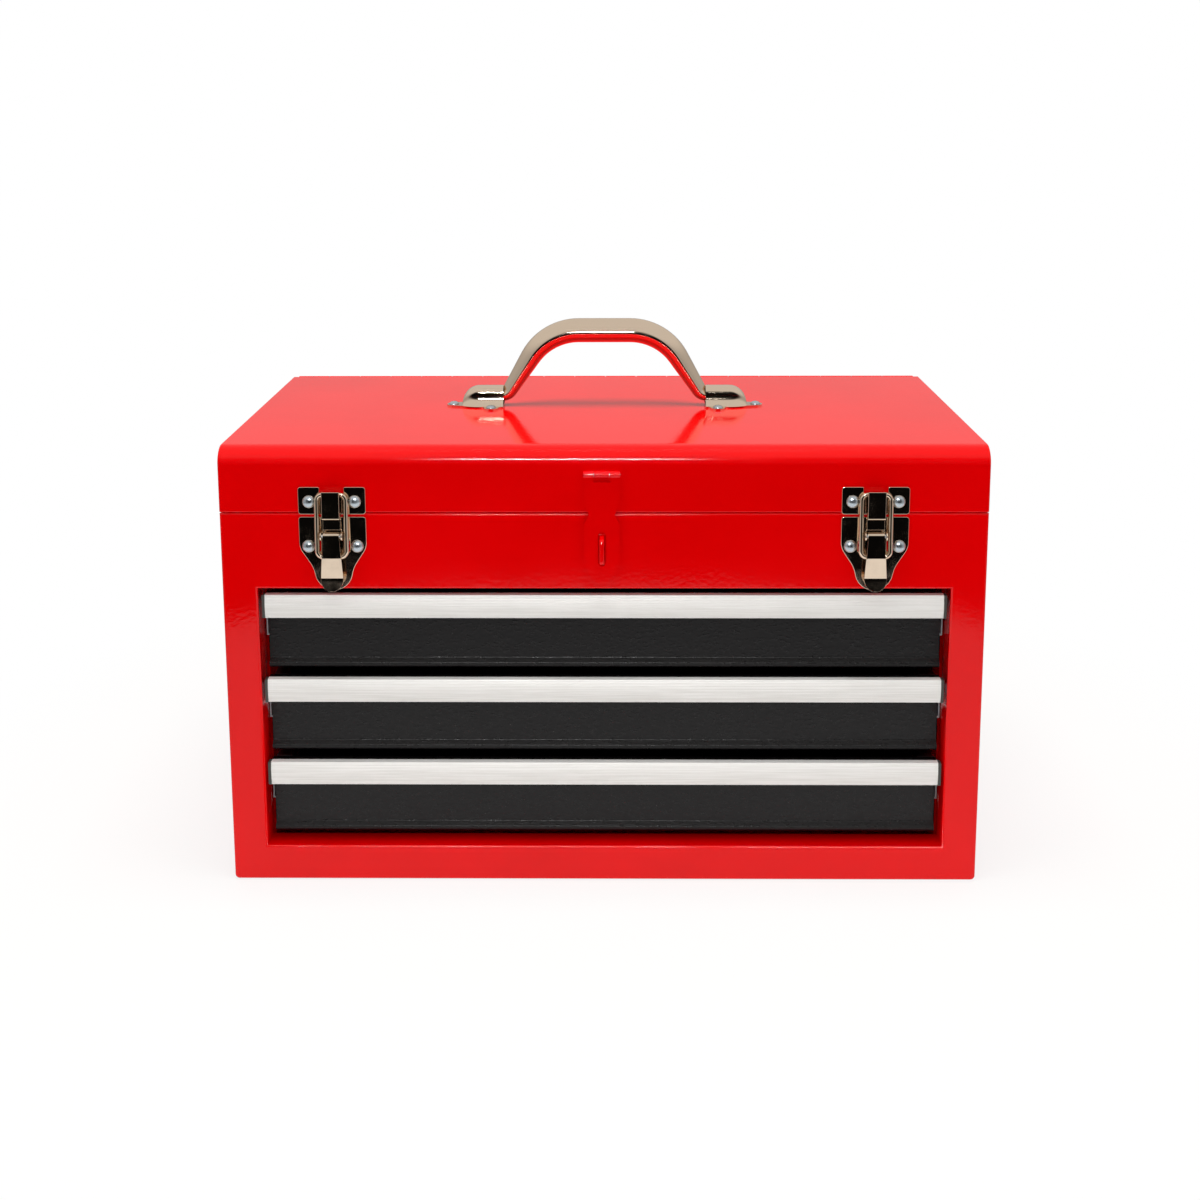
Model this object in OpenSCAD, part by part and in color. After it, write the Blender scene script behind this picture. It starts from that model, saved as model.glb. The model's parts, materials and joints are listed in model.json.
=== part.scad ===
// Portable steel tool box with three drawers, a lift-up lid over a top tray,
// two draw latches, a padlock hasp and a drop handle.
// Millimetres. X runs along the width, -Y is the front, +Z is up.
// The origin is the middle of the bottom face, which stands on the bench.

/* [Case] */
// Width of the case
case_w = 508; // [420:1:620]
// Depth of the case, front to back
case_d = 250; // [210:1:320]
// Height of the case up to the seam under the lid
case_h = 260; // [230:1:320]
// Thickness of the case and lid sheet
sheet = 1.2; // [0.8:0.01:1.6]
// Outside radius of the bends between bottom and sides
corner_r = 3; // [2:0.5:6]
// Width of the front strips left and right of the drawers
strip_w = 23.5; // [21:0.5:40]
// Height of the front strip below the drawers
bottom_strip_h = 24.5; // [16:0.5:40]
// Height of the front rail above the drawers
rail_h = 52; // [44:1:60]
// Depth of the returns folded in around the drawer opening
return_d = 18; // [10:1:22]
// Width of the rims folded in at the top of the case and at its back
rim_w = 10; // [6:1:14]
// Height of the upturned edges of the tray floor
tray_lip_h = 10; // [5:1:20]

/* [Lid] */
// Height of the lid above the seam
lid_h = 44.3; // [40:0.1:60]
// Outside radius of the bend at the lid's front edge
lid_bend_r = 12; // [4:1:20]
// Gap between lid and case at the seam
seam_gap = 0.4; // [0.3:0.1:1]
// Width of the hem folded in at the bottom of the lid
hem_w = 7; // [4:1:9]
// Outside radius of the hinge barrel
hinge_r = 3; // [2.5:0.1:4]
// Radius of the hinge pin
hinge_pin_r = 1.4; // [1:0.1:1.6]
// Running clearance between the hinge pin and its knuckles
hinge_fit = 0.06; // [0.02:0.01:0.1]
// Length of one hinge knuckle
knuckle_l = 25; // [15:1:30]
// Thickness of the hinge leaves
leaf_t = 1; // [0.8:0.1:1.2]
// Width of the hinge leaves
leaf_w = 20; // [12:1:26]

/* [Drawers] */
// Gap above the top drawer
top_gap = 5.8; // [3:0.1:8]
// Gap below each drawer
drawer_gap = 5.7; // [4:0.1:9]
// Distance of the drawer fronts behind the front of the case
front_recess = 13.5; // [11:0.5:15]
// Thickness of the drawer sheet
drawer_sheet = 1; // [0.8:0.1:1.2]
// Height of the raised band along the foot of a drawer front
band_h = 6.5; // [5.5:0.1:9]
// Distance that the band stands out of the drawer front
band_out = 3; // [2:0.1:3.6]
// Outside radius of the bend under the band
front_bend_r = 2; // [1.5:0.1:2.4]
// Gap between a drawer front and the opening on each side
front_gap = 3.5; // [2:0.5:4]
// Distance that a drawer pulls out
drawer_travel = 150; // [100:5:155]
// Room between the drawer tray and the back of the case
tray_back_room = 10; // [6:1:20]
// Height of the aluminium pull strip
pull_h = 16; // [12:0.5:20]
// Thickness of the pull strip
pull_t = 1.8; // [1.4:0.1:2.2]
// Distance of the pull strip behind the front of the case
pull_recess = 1; // [0.5:0.5:2]
// Length of the plastic cap on each end of a pull strip
cap_l = 2; // [1.5:0.5:4]

/* [Drawer slides] */
// Thickness of the slide channels
slide_t = 1.2; // [1:0.1:1.4]
// Depth of the fixed channel, from its web to its open side
slide_d = 11; // [9:0.1:14]
// Height of the fixed channel
slide_h = 24; // [22:1:28]
// Diameter of the balls
ball_d = 4; // [3:0.1:5]
// Clearance of a ball to each channel
ball_fit = 0.1; // [0.05:0.05:0.15]
// Distance between the balls of a row
ball_pitch = 12; // [8:1:16]

/* [Latches] */
// Distance of each latch from the middle of the case
latch_x = 179; // [120:1:200]
// Width of the keeper and of the base plate
latch_w = 44.6; // [38:0.2:52]
// Thickness of the keeper and of the base plate
plate_t = 1.2; // [1:0.1:1.4]
// Height of the base plate
plate_h = 50.4; // [48:0.2:53]
// Distance from the lever's pivot to the bail's pivot
crank_l = 14; // [12:0.5:15]
// Wire radius of the bail
bail_r = 1.6; // [1.2:0.1:2]
// Radius of the lever's pivot pin
lever_pin_r = 1.3; // [1:0.1:1.4]
// Running clearance of the lever and bail on their pivots
latch_fit = 0.06; // [0.02:0.01:0.1]
// Room between the bail's top bar and the keeper's tongue
tongue_room = 1.1; // [0.8:0.1:1.4]
// Radius of the domed rivet heads
rivet_head_r = 4.3; // [3:0.1:5]
// Radius of the rivet shanks
rivet_r = 1.9; // [1.5:0.1:2.4]

/* [Hasp] */
// Offset of the hasp from the middle of the case
hasp_x = -1; // [-20:1:20]
// Half width of the strap
strap_half_w = 12; // [10:0.5:15]
// Thickness of the strap
strap_t = 1.4; // [1:0.1:1.6]
// Outside radius of the hasp's knuckles
hasp_r = 2.1; // [1.8:0.1:2.4]
// Radius of the hasp's pin
hasp_pin_r = 1; // [0.8:0.1:1.2]
// Thickness of the staple
staple_t = 3; // [2:0.5:3.5]
// Distance that the staple stands out of the case
staple_out = 13; // [12:0.5:16]
// Radius of the padlock hole in the staple
padlock_r = 4; // [3:0.5:4]

/* [Handle] */
// Distance of the handle behind the middle of the case
handle_y = 8; // [-20:1:20]
// Distance from the middle to the mouth of each handle bracket
bracket_x = 74.5; // [60:0.5:90]
// Height of the handle's pivot above the lid
handle_pivot_h = 8.3; // [8:0.1:10]
// Height of the grip's centre line above the lid
grip_h = 56.3; // [45:0.1:70]
// Height of the grip's section
grip_t = 18; // [14:0.5:20]
// Diameter of the handle where it enters its brackets
neck_d = 9.2; // [8:0.1:10]
// Radius of the journals at the ends of the handle
journal_r = 5.9; // [5.6:0.1:6.2]
// Running clearance of the journals in their brackets
journal_fit = 0.08; // [0.02:0.01:0.1]
// Length of each journal
journal_l = 13; // [8:1:16]
// Radius of the bracket screws
screw_r = 2; // [1.5:0.1:2.5]

/* [Hidden] */

$fn = 48;
e = 0.01;
hull_fn = 32;

// Colours of the finishes
red = "#e00a0c";
black = "#2a2826";
nickel = "#c8bcad";
zinc = "#b9bdc0";
aluminium = "#eceded";
cap_grey = "#4a4a48";
steel = "#9aa0a4";

// Faces of the case
front_y = -case_d / 2;
back_y = case_d / 2;
side_x = case_w / 2;
inner_x = side_x - sheet;

// Drawer opening
opening_x = side_x - strip_w;
opening_top_z = case_h - rail_h;
tray_z = opening_top_z + sheet;

// Lid and its hinge
lid_z = case_h + seam_gap;
lid_top_z = case_h + lid_h;
hinge_y = back_y - hinge_r;
hinge_z = lid_top_z - hinge_r;
hinge_gap = 0.4;
lid_back_y = hinge_y - hinge_r - hinge_gap;
back_top_z = hinge_z - hinge_r - hinge_gap;
knuckle_gap = 0.25;
hinge_end = 3;
knuckles = floor((case_w - 2 * hinge_end) / knuckle_l);
hinge_l = knuckles * knuckle_l;

// Drawers, counted from the top
drawers = 3;
opening_h = opening_top_z - bottom_strip_h;
drawer_pitch = (opening_h - top_gap) / drawers;
drawer_h = drawer_pitch - drawer_gap;
front_face_y = front_y + front_recess;
front_back_y = front_face_y + drawer_sheet;
front_x = opening_x - front_gap;
pull_x = opening_x - 2;
bottom_lip = 12;
tray_side_h = drawer_h - 8;
tray_back_y = back_y - 2 * sheet - tray_back_room;
function drawer_top(i) = opening_top_z - top_gap - (i - 1) * drawer_pitch;
function drawer_z(i) = drawer_top(i) - drawer_h;

// Ball slides: the fixed channel stands on the posts, the moving one on the tray
slide_gap = 0.2;
slide_web_x = opening_x - slide_gap;
slide_mouth_x = slide_web_x - slide_d;
slide_room = 3;
tray_x = slide_mouth_x - slide_room;
ball_room = ball_d + 2 * ball_fit;
inner_half_h = slide_h / 2 - slide_t - ball_room;
ball_z = inner_half_h + ball_room / 2;
cage_t = 0.8;
cage_gap = 0.9;
cage_web_x = slide_web_x - slide_t - cage_gap;
inner_tip_x = cage_web_x - cage_t - cage_gap;
ball_x = (slide_mouth_x + inner_tip_x) / 2;
ball_hole_r = ball_d / 2 + 0.15;
cage_edge_x = ball_x - ball_hole_r - 0.5;
slide_y0 = front_y + return_d + 2;
slide_y1 = tray_back_y - 6;
slide_l = slide_y1 - slide_y0;
slide_mid_y = (slide_y0 + slide_y1) / 2;
cage_l = slide_l - drawer_travel - 4;
ball_count = floor((cage_l - ball_d - 2) / ball_pitch) + 1;
function slide_z(i) = drawer_z(i) + tray_side_h - slide_h / 2 - 2;

// Posts that carry the slides
post_w = 28;
post_front_y = slide_y0 + 6;
post_back_y = slide_y1 - post_w - 6;

// Latches: heights from the bench, distances out from the front face
plate_top_z = case_h - 2.2;
plate_z = plate_top_z - plate_h;
keeper_z = case_h - 0.5;
keeper_h = 18.5;
keeper_notch_z = keeper_z + 12.5;
tongue_half_w = 5.9;
window_half_w = 8;
pivot_z = plate_top_z - 12;
bail_pivot_z = pivot_z - crank_l;
pivot_out = 5.3;
lever_t = 1.3;
ear_t = 1.2;
ear_x = tongue_half_w + 0.4;
ear_r = 2.9;

// The bail's top bar lies behind the tongue, its legs pass outside the ears
bail_bar_z = keeper_notch_z + 1.45;
bail_bar_out = plate_t + bail_r + 0.4;
bail_rise = bail_bar_z - bail_pivot_z;
bail_lean = atan2(pivot_out - bail_bar_out, bail_rise);
bail_l = norm([pivot_out - bail_bar_out, bail_rise]);
bail_corner_r = 4;
bail_half_w = ear_x + ear_t + bail_r + 0.5;
tongue_out = bail_bar_out + bail_r + tongue_room;
tongue_top_z = bail_bar_z + 2.55;
shoulder_z = plate_top_z - 22;
plate_rivet = [16.1, plate_top_z - 20];
keeper_rivet = [15.1, keeper_z + 8.7];
head_h = 2.6;
tail_r = 3.2;
tail_h = 1;
hole_room = 0.1;

// Hasp: its pin hangs from the lid, the strap reaches down over the staple
hasp_pivot_z = case_h + 27;
hasp_pivot_out = 2.9;
hasp_leaf_t = 1;
strap_back_out = 1.5;
hasp_knuckle_x = 5;
strap_top_z = hasp_pivot_z - hasp_r + 0.6;
strap_tip_z = case_h - 48;
slot_top_z = case_h - 11.5;
slot_bottom_z = case_h - 35.5;
slot_half_w = staple_t / 2 + 1;
staple_top_z = slot_top_z - 3;
staple_bottom_z = slot_bottom_z + 3.5;
staple_r = 3;
padlock_z = (staple_top_z + staple_bottom_z) / 2;
padlock_out = staple_out - padlock_r - 2;

// Handle: its centre line is an arc at each end, a straight leg, an arc and the grip
leg_angle = 58;
foot_r = 7;
shoulder_r = 42;
pivot_top_z = lid_top_z + handle_pivot_h;
grip_z = lid_top_z + grip_h;
foot_x = bracket_x + 1.3;
foot_end = [foot_x - foot_r * sin(leg_angle), pivot_top_z + foot_r * (1 - cos(leg_angle))];
leg_top_z = grip_z - shoulder_r * (1 - cos(leg_angle));
leg_top_x = foot_end[0] - (leg_top_z - foot_end[1]) / tan(leg_angle);
grip_x = leg_top_x - shoulder_r * sin(leg_angle);
handle_sides = 20;
foot_steps = 5;
leg_steps = 4;
arc_steps = 8;

// Handle brackets
cup_t = 1.5;
cup_r = journal_r + journal_fit;
cup_out_r = cup_r + cup_t;
cup_l = 18;
cup_nose_l = 12.6;
flange_t = 1.2;
tip_screw_x = bracket_x + 37;
ear_screw_x = bracket_x + 8.5;
ear_screw_y = cup_out_r + 6.5;
screw_pad_r = 5;
screw_head_r = 3.8;
screw_head_h = 2;
nut_r = 4.04;
nut_h = 3.2;
neck_room = 0.6;

// A block between two corners
module block(lo, hi) {
    translate(lo) cube(hi - lo);
}

// The same thing on the left and on the right
module both_sides() {
    children();
    mirror([1, 0, 0]) children();
}

// A flat outline drawn in X and Z, made a plate from y0 back to y1
module front_plate(y0, y1) {
    translate([0, y1, 0]) rotate([90, 0, 0]) linear_extrude(y1 - y0) children();
}

// A side outline drawn in Y and Z, made a bar from x0 to x1
module side_bar(x0, x1) {
    translate([x0, 0, 0]) rotate([90, 0, 90]) linear_extrude(x1 - x0) children();
}

// A side outline drawn as distance out of the front face and height, from x0 to x1
module front_bar(x0, x1) {
    translate([x0, front_y, 0]) rotate([90, 0, 90]) linear_extrude(x1 - x0) mirror([1, 0]) children();
}

// A round bar along X at a distance out of the front face
module front_rod(r, x0, x1, out, z) {
    translate([x0, front_y - out, z]) rotate([0, 90, 0]) cylinder(r = r, h = x1 - x0);
}

// ---- Case ----

// Outline of the case seen from the front, with its rounded bottom corners
module case_outline(inset, top) {
    r = corner_r - inset;
    x = side_x - inset;
    translate([-x, inset + r]) square([2 * x, top - inset - r]);
    translate([-x + r, inset]) square([2 * (x - r), r + e]);
    for (s = [-1, 1]) translate([s * (x - r), inset + r]) circle(r = r);
}

// Holes in the front for the rivets of both latches
module rivet_holes(spot) {
    for (s = [-1, 1], q = [-1, 1]) {
        translate([s * latch_x + q * spot[0], front_y - 1, spot[1]])
            rotate([-90, 0, 0]) cylinder(r = rivet_r + hole_room, h = sheet + 2);
    }
}

// Mitre line and corner relief where the strips meet below the drawers
module mitre_cut() {
    cut_w = 0.5;
    cut_d = 0.35;
    relief_r = 1.3;
    relief_d = 6;
    run = norm([strip_w, bottom_strip_h]);
    translate([-side_x, front_y - e, 0]) rotate([0, -atan2(bottom_strip_h, strip_w), 0])
        translate([corner_r, 0, -cut_w / 2]) cube([run - corner_r, cut_d, cut_w]);
    translate([-opening_x, front_y - e, bottom_strip_h]) rotate([-90, 0, 0])
        cylinder(r = relief_r, h = relief_d, $fn = 24);
}

module case_shell() {
    color(red) difference() {
        union() {
            // Bottom and sides in one bent sheet
            front_plate(front_y, back_y - sheet) difference() {
                case_outline(0, case_h);
                case_outline(sheet, case_h + 1);
            }
            // Front frame around the drawers
            front_plate(front_y, front_y + sheet) case_outline(0, case_h);
            // Returns folded in around the opening
            block([-opening_x - sheet, front_y, bottom_strip_h - sheet],
                  [opening_x + sheet, front_y + return_d, opening_top_z + sheet]);
            // Rims folded in at the top of the front and the sides
            block([-inner_x, front_y, case_h - sheet], [inner_x, front_y + rim_w, case_h]);
            both_sides() block([inner_x - rim_w, front_y, case_h - sheet],
                               [inner_x + e, back_y - sheet, case_h]);
            // Rims at the back, which carry the back panel
            both_sides() block([inner_x - rim_w, back_y - 2 * sheet, sheet],
                               [inner_x + e, back_y - sheet, case_h]);
            block([-inner_x, back_y - 2 * sheet, sheet - e], [inner_x, back_y - sheet, sheet + rim_w]);
        }
        block([-opening_x, front_y - 1, bottom_strip_h],
              [opening_x, front_y + return_d + 1, opening_top_z]);
        both_sides() mitre_cut();
        rivet_holes(plate_rivet);
    }
}

module back_panel() {
    flange_y = lid_back_y + 0.7;
    color(red) union() {
        front_plate(back_y - sheet, back_y) case_outline(0, back_top_z);
        // Short flanges that close the gap behind the ends of the lid
        both_sides() block([inner_x, flange_y, case_h + seam_gap],
                           [side_x, back_y - sheet + e, back_top_z]);
    }
}

module tray_floor() {
    y0 = front_y + return_d;
    y1 = back_y - 2 * sheet;
    top = tray_z + sheet + tray_lip_h;
    color(red) union() {
        block([-inner_x, front_y + sheet, tray_z], [inner_x, y1, tray_z + sheet]);
        both_sides() block([inner_x - sheet, front_y + sheet, tray_z], [inner_x, y1, top]);
        block([-inner_x, y1 - sheet, tray_z], [inner_x, y1, top]);
        // The front edge bends down behind the returns of the opening
        block([-opening_x, y0 + 0.2, tray_z - sheet], [opening_x, y0 + 0.2 + sheet, tray_z + e]);
    }
}

// One post: a channel with its open side against the wall of the case
module slide_post(y) {
    block([slide_web_x, y, sheet], [slide_web_x + sheet, y + post_w, tray_z]);
    // Its flanges stay above the bend at the foot of the wall
    for (q = [y, y + post_w - sheet])
        block([slide_web_x, q, corner_r], [inner_x, q + sheet, tray_z]);
}

module slide_posts() {
    color(red) both_sides() {
        slide_post(post_front_y);
        slide_post(post_back_y);
    }
}

// ---- Lid hinge: knuckles with even numbers belong to the case ----

module hinge_knuckles(first) {
    for (k = [first : 2 : knuckles - 1])
        translate([-hinge_l / 2 + k * knuckle_l + knuckle_gap, hinge_y, hinge_z]) rotate([0, 90, 0])
            cylinder(r = hinge_r, h = knuckle_l - 2 * knuckle_gap);
}

module hinge_bore() {
    translate([-hinge_l / 2 - 1, hinge_y, hinge_z]) rotate([0, 90, 0])
        cylinder(r = hinge_pin_r + hinge_fit, h = hinge_l + 2);
}

module hinge_case_leaf() {
    y1 = back_y - sheet;
    color(red) difference() {
        union() {
            block([-hinge_l / 2, y1 - leaf_t, back_top_z - leaf_w], [hinge_l / 2, y1, back_top_z]);
            hinge_knuckles(0);
            for (k = [0 : 2 : knuckles - 1])
                block([-hinge_l / 2 + k * knuckle_l + knuckle_gap, y1 - leaf_t, back_top_z - e],
                      [-hinge_l / 2 + (k + 1) * knuckle_l - knuckle_gap, y1, hinge_z - 2]);
        }
        hinge_bore();
    }
}

module hinge_lid_leaf() {
    z1 = lid_top_z - sheet;
    color(red) difference() {
        union() {
            block([-hinge_l / 2, lid_back_y - leaf_w, z1 - leaf_t], [hinge_l / 2, lid_back_y, z1]);
            hinge_knuckles(1);
            for (k = [1 : 2 : knuckles - 1])
                block([-hinge_l / 2 + k * knuckle_l + knuckle_gap, lid_back_y - e, z1 - leaf_t],
                      [-hinge_l / 2 + (k + 1) * knuckle_l - knuckle_gap, hinge_y - 2, z1]);
        }
        hinge_bore();
    }
}

module hinge_pin() {
    color(steel) translate([-hinge_l / 2 + 0.5, hinge_y, hinge_z]) rotate([0, 90, 0])
        cylinder(r = hinge_pin_r, h = hinge_l - 1);
}

// ---- Lid ----

// Side outline of the lid, with the bend at its front edge
module lid_outline(inset) {
    r = lid_bend_r - inset;
    y0 = front_y + inset;
    z1 = lid_top_z - inset;
    z0 = inset > 0 ? lid_z - 1 : lid_z;
    y1 = inset > 0 ? lid_back_y + 1 : lid_back_y;
    translate([y0 + r, z0]) square([y1 - y0 - r, z1 - z0]);
    translate([y0, z0]) square([r + e, z1 - r - z0]);
    translate([y0 + r, z1 - r]) circle(r = r);
}

module lid_shell() {
    color(red) difference() {
        union() {
            difference() {
                side_bar(-side_x, side_x) lid_outline(0);
                side_bar(-inner_x, inner_x) lid_outline(sheet);
            }
            block([-inner_x - e, front_y, lid_z], [inner_x + e, front_y + hem_w, lid_z + sheet]);
            both_sides() block([inner_x - hem_w, front_y, lid_z],
                               [inner_x + e, lid_back_y, lid_z + sheet]);
        }
        rivet_holes(keeper_rivet);
        screw_spots() translate([0, 0, lid_top_z - sheet - 1])
            cylinder(r = screw_r + hole_room, h = sheet + 2, $fn = 24);
    }
}

// ---- Latches, drawn around X = 0 and moved to each side ----

module left_right(side) {
    translate([side * latch_x, 0, 0]) children();
}

module rivet(spot) {
    sphere_r = (rivet_head_r * rivet_head_r + head_h * head_h) / (2 * head_h);
    translate([spot[0], front_y, spot[1]]) rotate([90, 0, 0]) {
        intersection() {
            translate([0, 0, plate_t + head_h - sphere_r]) sphere(r = sphere_r);
            translate([0, 0, plate_t]) cylinder(r = rivet_head_r + 1, h = head_h + 1);
        }
        translate([0, 0, -sheet]) cylinder(r = rivet_r, h = sheet + plate_t + e);
        translate([0, 0, -sheet - tail_h]) cylinder(r = tail_r, h = tail_h);
    }
}

module rivets(spot) {
    color(zinc) for (s = [-1, 1], q = [-1, 1]) left_right(s) rivet([q * spot[0], spot[1]]);
}

module plate_holes(spot) {
    for (q = [-1, 1]) translate([q * spot[0], spot[1]]) circle(r = rivet_r + hole_room);
}

// A rectangle with round corners, made of squares and circles
module round_rect(x0, z0, x1, z1, r) {
    translate([x0 + r, z0]) square([x1 - x0 - 2 * r, z1 - z0]);
    translate([x0, z0 + r]) square([x1 - x0, z1 - z0 - 2 * r]);
    for (x = [x0 + r, x1 - r], z = [z0 + r, z1 - r]) translate([x, z]) circle(r = r);
}

// Keeper: a riveted plate, notched at the top, whose foot folds out and up into the tongue
module latch_keeper(side) {
    toe_z = keeper_z - 2.5;
    toe_r = 0.8;
    slope = (keeper_z - toe_z) / tongue_out;
    lobe_r = 1.8;
    tip_r = 1;
    color(nickel) left_right(side) {
        front_plate(front_y - plate_t, front_y) difference() {
            round_rect(-latch_w / 2, keeper_z, latch_w / 2, keeper_z + keeper_h, lobe_r);
            translate([-window_half_w, keeper_notch_z]) square([2 * window_half_w, keeper_h]);
            plate_holes(keeper_rivet);
        }
        // The tongue starts inside the plate's foot, so that the two are one piece
        intersection() {
            front_bar(-tongue_half_w, tongue_half_w)
                polygon([[0.2, keeper_z + 1.5 * plate_t], [plate_t - 0.1, keeper_z + 0.1],
                         [tongue_out + plate_t - toe_r, toe_z], [tongue_out + plate_t, toe_z + toe_r],
                         [tongue_out + plate_t, tongue_top_z], [tongue_out, tongue_top_z],
                         [tongue_out, keeper_z + 1.5 * plate_t - slope * tongue_out]]);
            front_plate(front_y - 20, front_y)
                round_rect(-tongue_half_w, keeper_z - 5, tongue_half_w, tongue_top_z, tip_r);
        }
    }
}

// Base plate outline: square shoulders, a hollow flank and a round tip
module plate_outline() {
    tip_half_w = 10.6;
    neck_half_w = 14.5;
    neck_r = 12;
    tip_z = plate_z + tip_half_w;
    neck_z = tip_z + 6;
    half = latch_w / 2;
    difference() {
        union() {
            round_rect(-half, shoulder_z - 2, half, plate_top_z, 1.8);
            polygon([[-half, shoulder_z], [-neck_half_w, neck_z], [-tip_half_w, tip_z],
                     [tip_half_w, tip_z], [neck_half_w, neck_z], [half, shoulder_z]]);
            translate([0, tip_z]) circle(r = tip_half_w);
        }
        for (q = [-1, 1]) translate([q * (neck_half_w + neck_r), neck_z]) circle(r = neck_r);
        plate_holes(plate_rivet);
    }
}

// Base plate with two ears for the lever's pin, and the holes the ears were cut from
module latch_plate(side) {
    slot_w = 3.4;
    slot_h = 7;
    color(nickel) left_right(side) {
        front_plate(front_y - plate_t, front_y) difference() {
            plate_outline();
            for (q = [-1, 1]) translate([q * (ear_x + ear_t + slot_w / 2 + 0.3), pivot_z - 8])
                square([slot_w, slot_h], center = true);
        }
        both_sides() difference() {
            front_bar(ear_x, ear_x + ear_t) union() {
                translate([0, pivot_z - ear_r]) square([pivot_out, 2 * ear_r]);
                translate([pivot_out, pivot_z]) circle(r = ear_r);
            }
            front_rod(lever_pin_r, ear_x - 1, ear_x + ear_t + 1, pivot_out, pivot_z);
        }
        // Folded stop above the lever
        front_bar(-tongue_half_w, tongue_half_w)
            polygon([[plate_t - e, plate_top_z - 1], [plate_t - e, plate_top_z - 2.4],
                     [3.3, pivot_z + 3.6], [4.4, pivot_z + 4.1]]);
    }
}

module lever_pin(side) {
    color(steel) left_right(side)
        front_rod(lever_pin_r, -ear_x - ear_t, ear_x + ear_t, pivot_out, pivot_z);
}

// Front outline of the lever: narrow at its pivot, flaring to a wide tail
module lever_outline() {
    tail_half_w = 7.4;
    tail_end_z = plate_z + 1.9;
    waist_half_w = 5.3;
    knee_z = bail_pivot_z - 3;
    polygon([[-waist_half_w, pivot_z + 4], [-waist_half_w - 0.6, bail_pivot_z + 2],
             [-tail_half_w + 0.4, knee_z], [-tail_half_w, tail_end_z + tail_half_w],
             [tail_half_w, tail_end_z + tail_half_w], [tail_half_w - 0.4, knee_z],
             [waist_half_w + 0.6, bail_pivot_z + 2], [waist_half_w, pivot_z + 4]]);
    translate([0, tail_end_z + tail_half_w]) circle(r = tail_half_w);
}

// Lever: a strip rolled round its pin and round the bail, with a lifted finger tip
module latch_lever(side) {
    roll_r = lever_pin_r + latch_fit + lever_t;
    loop_r = bail_r + latch_fit + lever_t;
    out_p = pivot_out + roll_r;
    out_q = pivot_out + loop_r;
    tip_z = plate_z + 0.5;
    bend_z = plate_z + 9.3;
    color(nickel) left_right(side) difference() {
        intersection() {
            union() {
                front_rod(roll_r, -ear_x + 0.2, ear_x - 0.2, pivot_out, pivot_z);
                front_rod(loop_r, -bail_half_w + bail_corner_r, bail_half_w - bail_corner_r,
                          pivot_out, bail_pivot_z);
                front_bar(-latch_w / 2, latch_w / 2) union() {
                    polygon([[out_p - lever_t, pivot_z], [out_p, pivot_z],
                             [out_q, bail_pivot_z], [out_q - lever_t, bail_pivot_z]]);
                    polygon([[out_q - lever_t, bail_pivot_z + e], [out_q, bail_pivot_z + e],
                             [out_q - 0.9, bend_z], [out_q - 0.9 - lever_t, bend_z]]);
                    polygon([[out_q - 0.9 - lever_t, bend_z + e], [out_q - 0.9, bend_z + e],
                             [out_q + 2.4, tip_z], [out_q + 2.4 - lever_t, tip_z]]);
                }
            }
            front_plate(front_y - 20, front_y) lever_outline();
        }
        front_rod(lever_pin_r + latch_fit, -latch_w / 2, latch_w / 2, pivot_out, pivot_z);
        front_rod(bail_r + latch_fit, -latch_w / 2, latch_w / 2, pivot_out, bail_pivot_z);
    }
}

// Bail: a closed loop of round wire, leaning in from the lever to the tongue
module latch_bail(side) {
    leg = bail_l - 2 * bail_corner_r;
    bar = 2 * (bail_half_w - bail_corner_r);
    color(nickel) left_right(side) translate([0, front_y - pivot_out, bail_pivot_z])
        rotate([90 - bail_lean, 0, 0]) {
            for (q = [-1, 1]) {
                translate([q * bail_half_w, bail_corner_r, 0]) rotate([-90, 0, 0])
                    cylinder(r = bail_r, h = leg);
                for (end = [0, 1]) translate([q * bar / 2, bail_corner_r + end * leg, 0])
                    mirror([q < 0 ? 1 : 0, 0, 0]) mirror([0, end == 0 ? 1 : 0, 0])
                        rotate_extrude(angle = 90) translate([bail_corner_r, 0]) circle(r = bail_r);
            }
            for (end = [0, 1]) translate([-bar / 2, end * bail_l, 0]) rotate([0, 90, 0])
                cylinder(r = bail_r, h = bar);
        }
}

// ---- Hasp ----

module at_hasp() {
    translate([hasp_x, 0, 0]) children();
}

module hasp_leaf() {
    leaf_half_w = strap_half_w - 1;
    leaf_z = case_h + 6;
    color(red) at_hasp() difference() {
        union() {
            front_plate(front_y - hasp_leaf_t, front_y)
                round_rect(-leaf_half_w, leaf_z, leaf_half_w, hasp_pivot_z - 3, 1.5);
            front_bar(-hasp_knuckle_x, hasp_knuckle_x)
                polygon([[0, hasp_pivot_z - 3.1], [hasp_leaf_t, hasp_pivot_z - 3.1],
                         [hasp_pivot_out - 0.6, hasp_pivot_z - 1.5],
                         [hasp_pivot_out - 1.6, hasp_pivot_z], [0, hasp_pivot_z]]);
            front_rod(hasp_r, -hasp_knuckle_x, hasp_knuckle_x, hasp_pivot_out, hasp_pivot_z);
        }
        front_rod(hasp_pin_r + hinge_fit, -strap_half_w, strap_half_w, hasp_pivot_out, hasp_pivot_z);
    }
}

module hasp_pin() {
    color(steel) at_hasp()
        front_rod(hasp_pin_r, -strap_half_w + 0.3, strap_half_w - 0.3, hasp_pivot_out, hasp_pivot_z);
}

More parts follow.
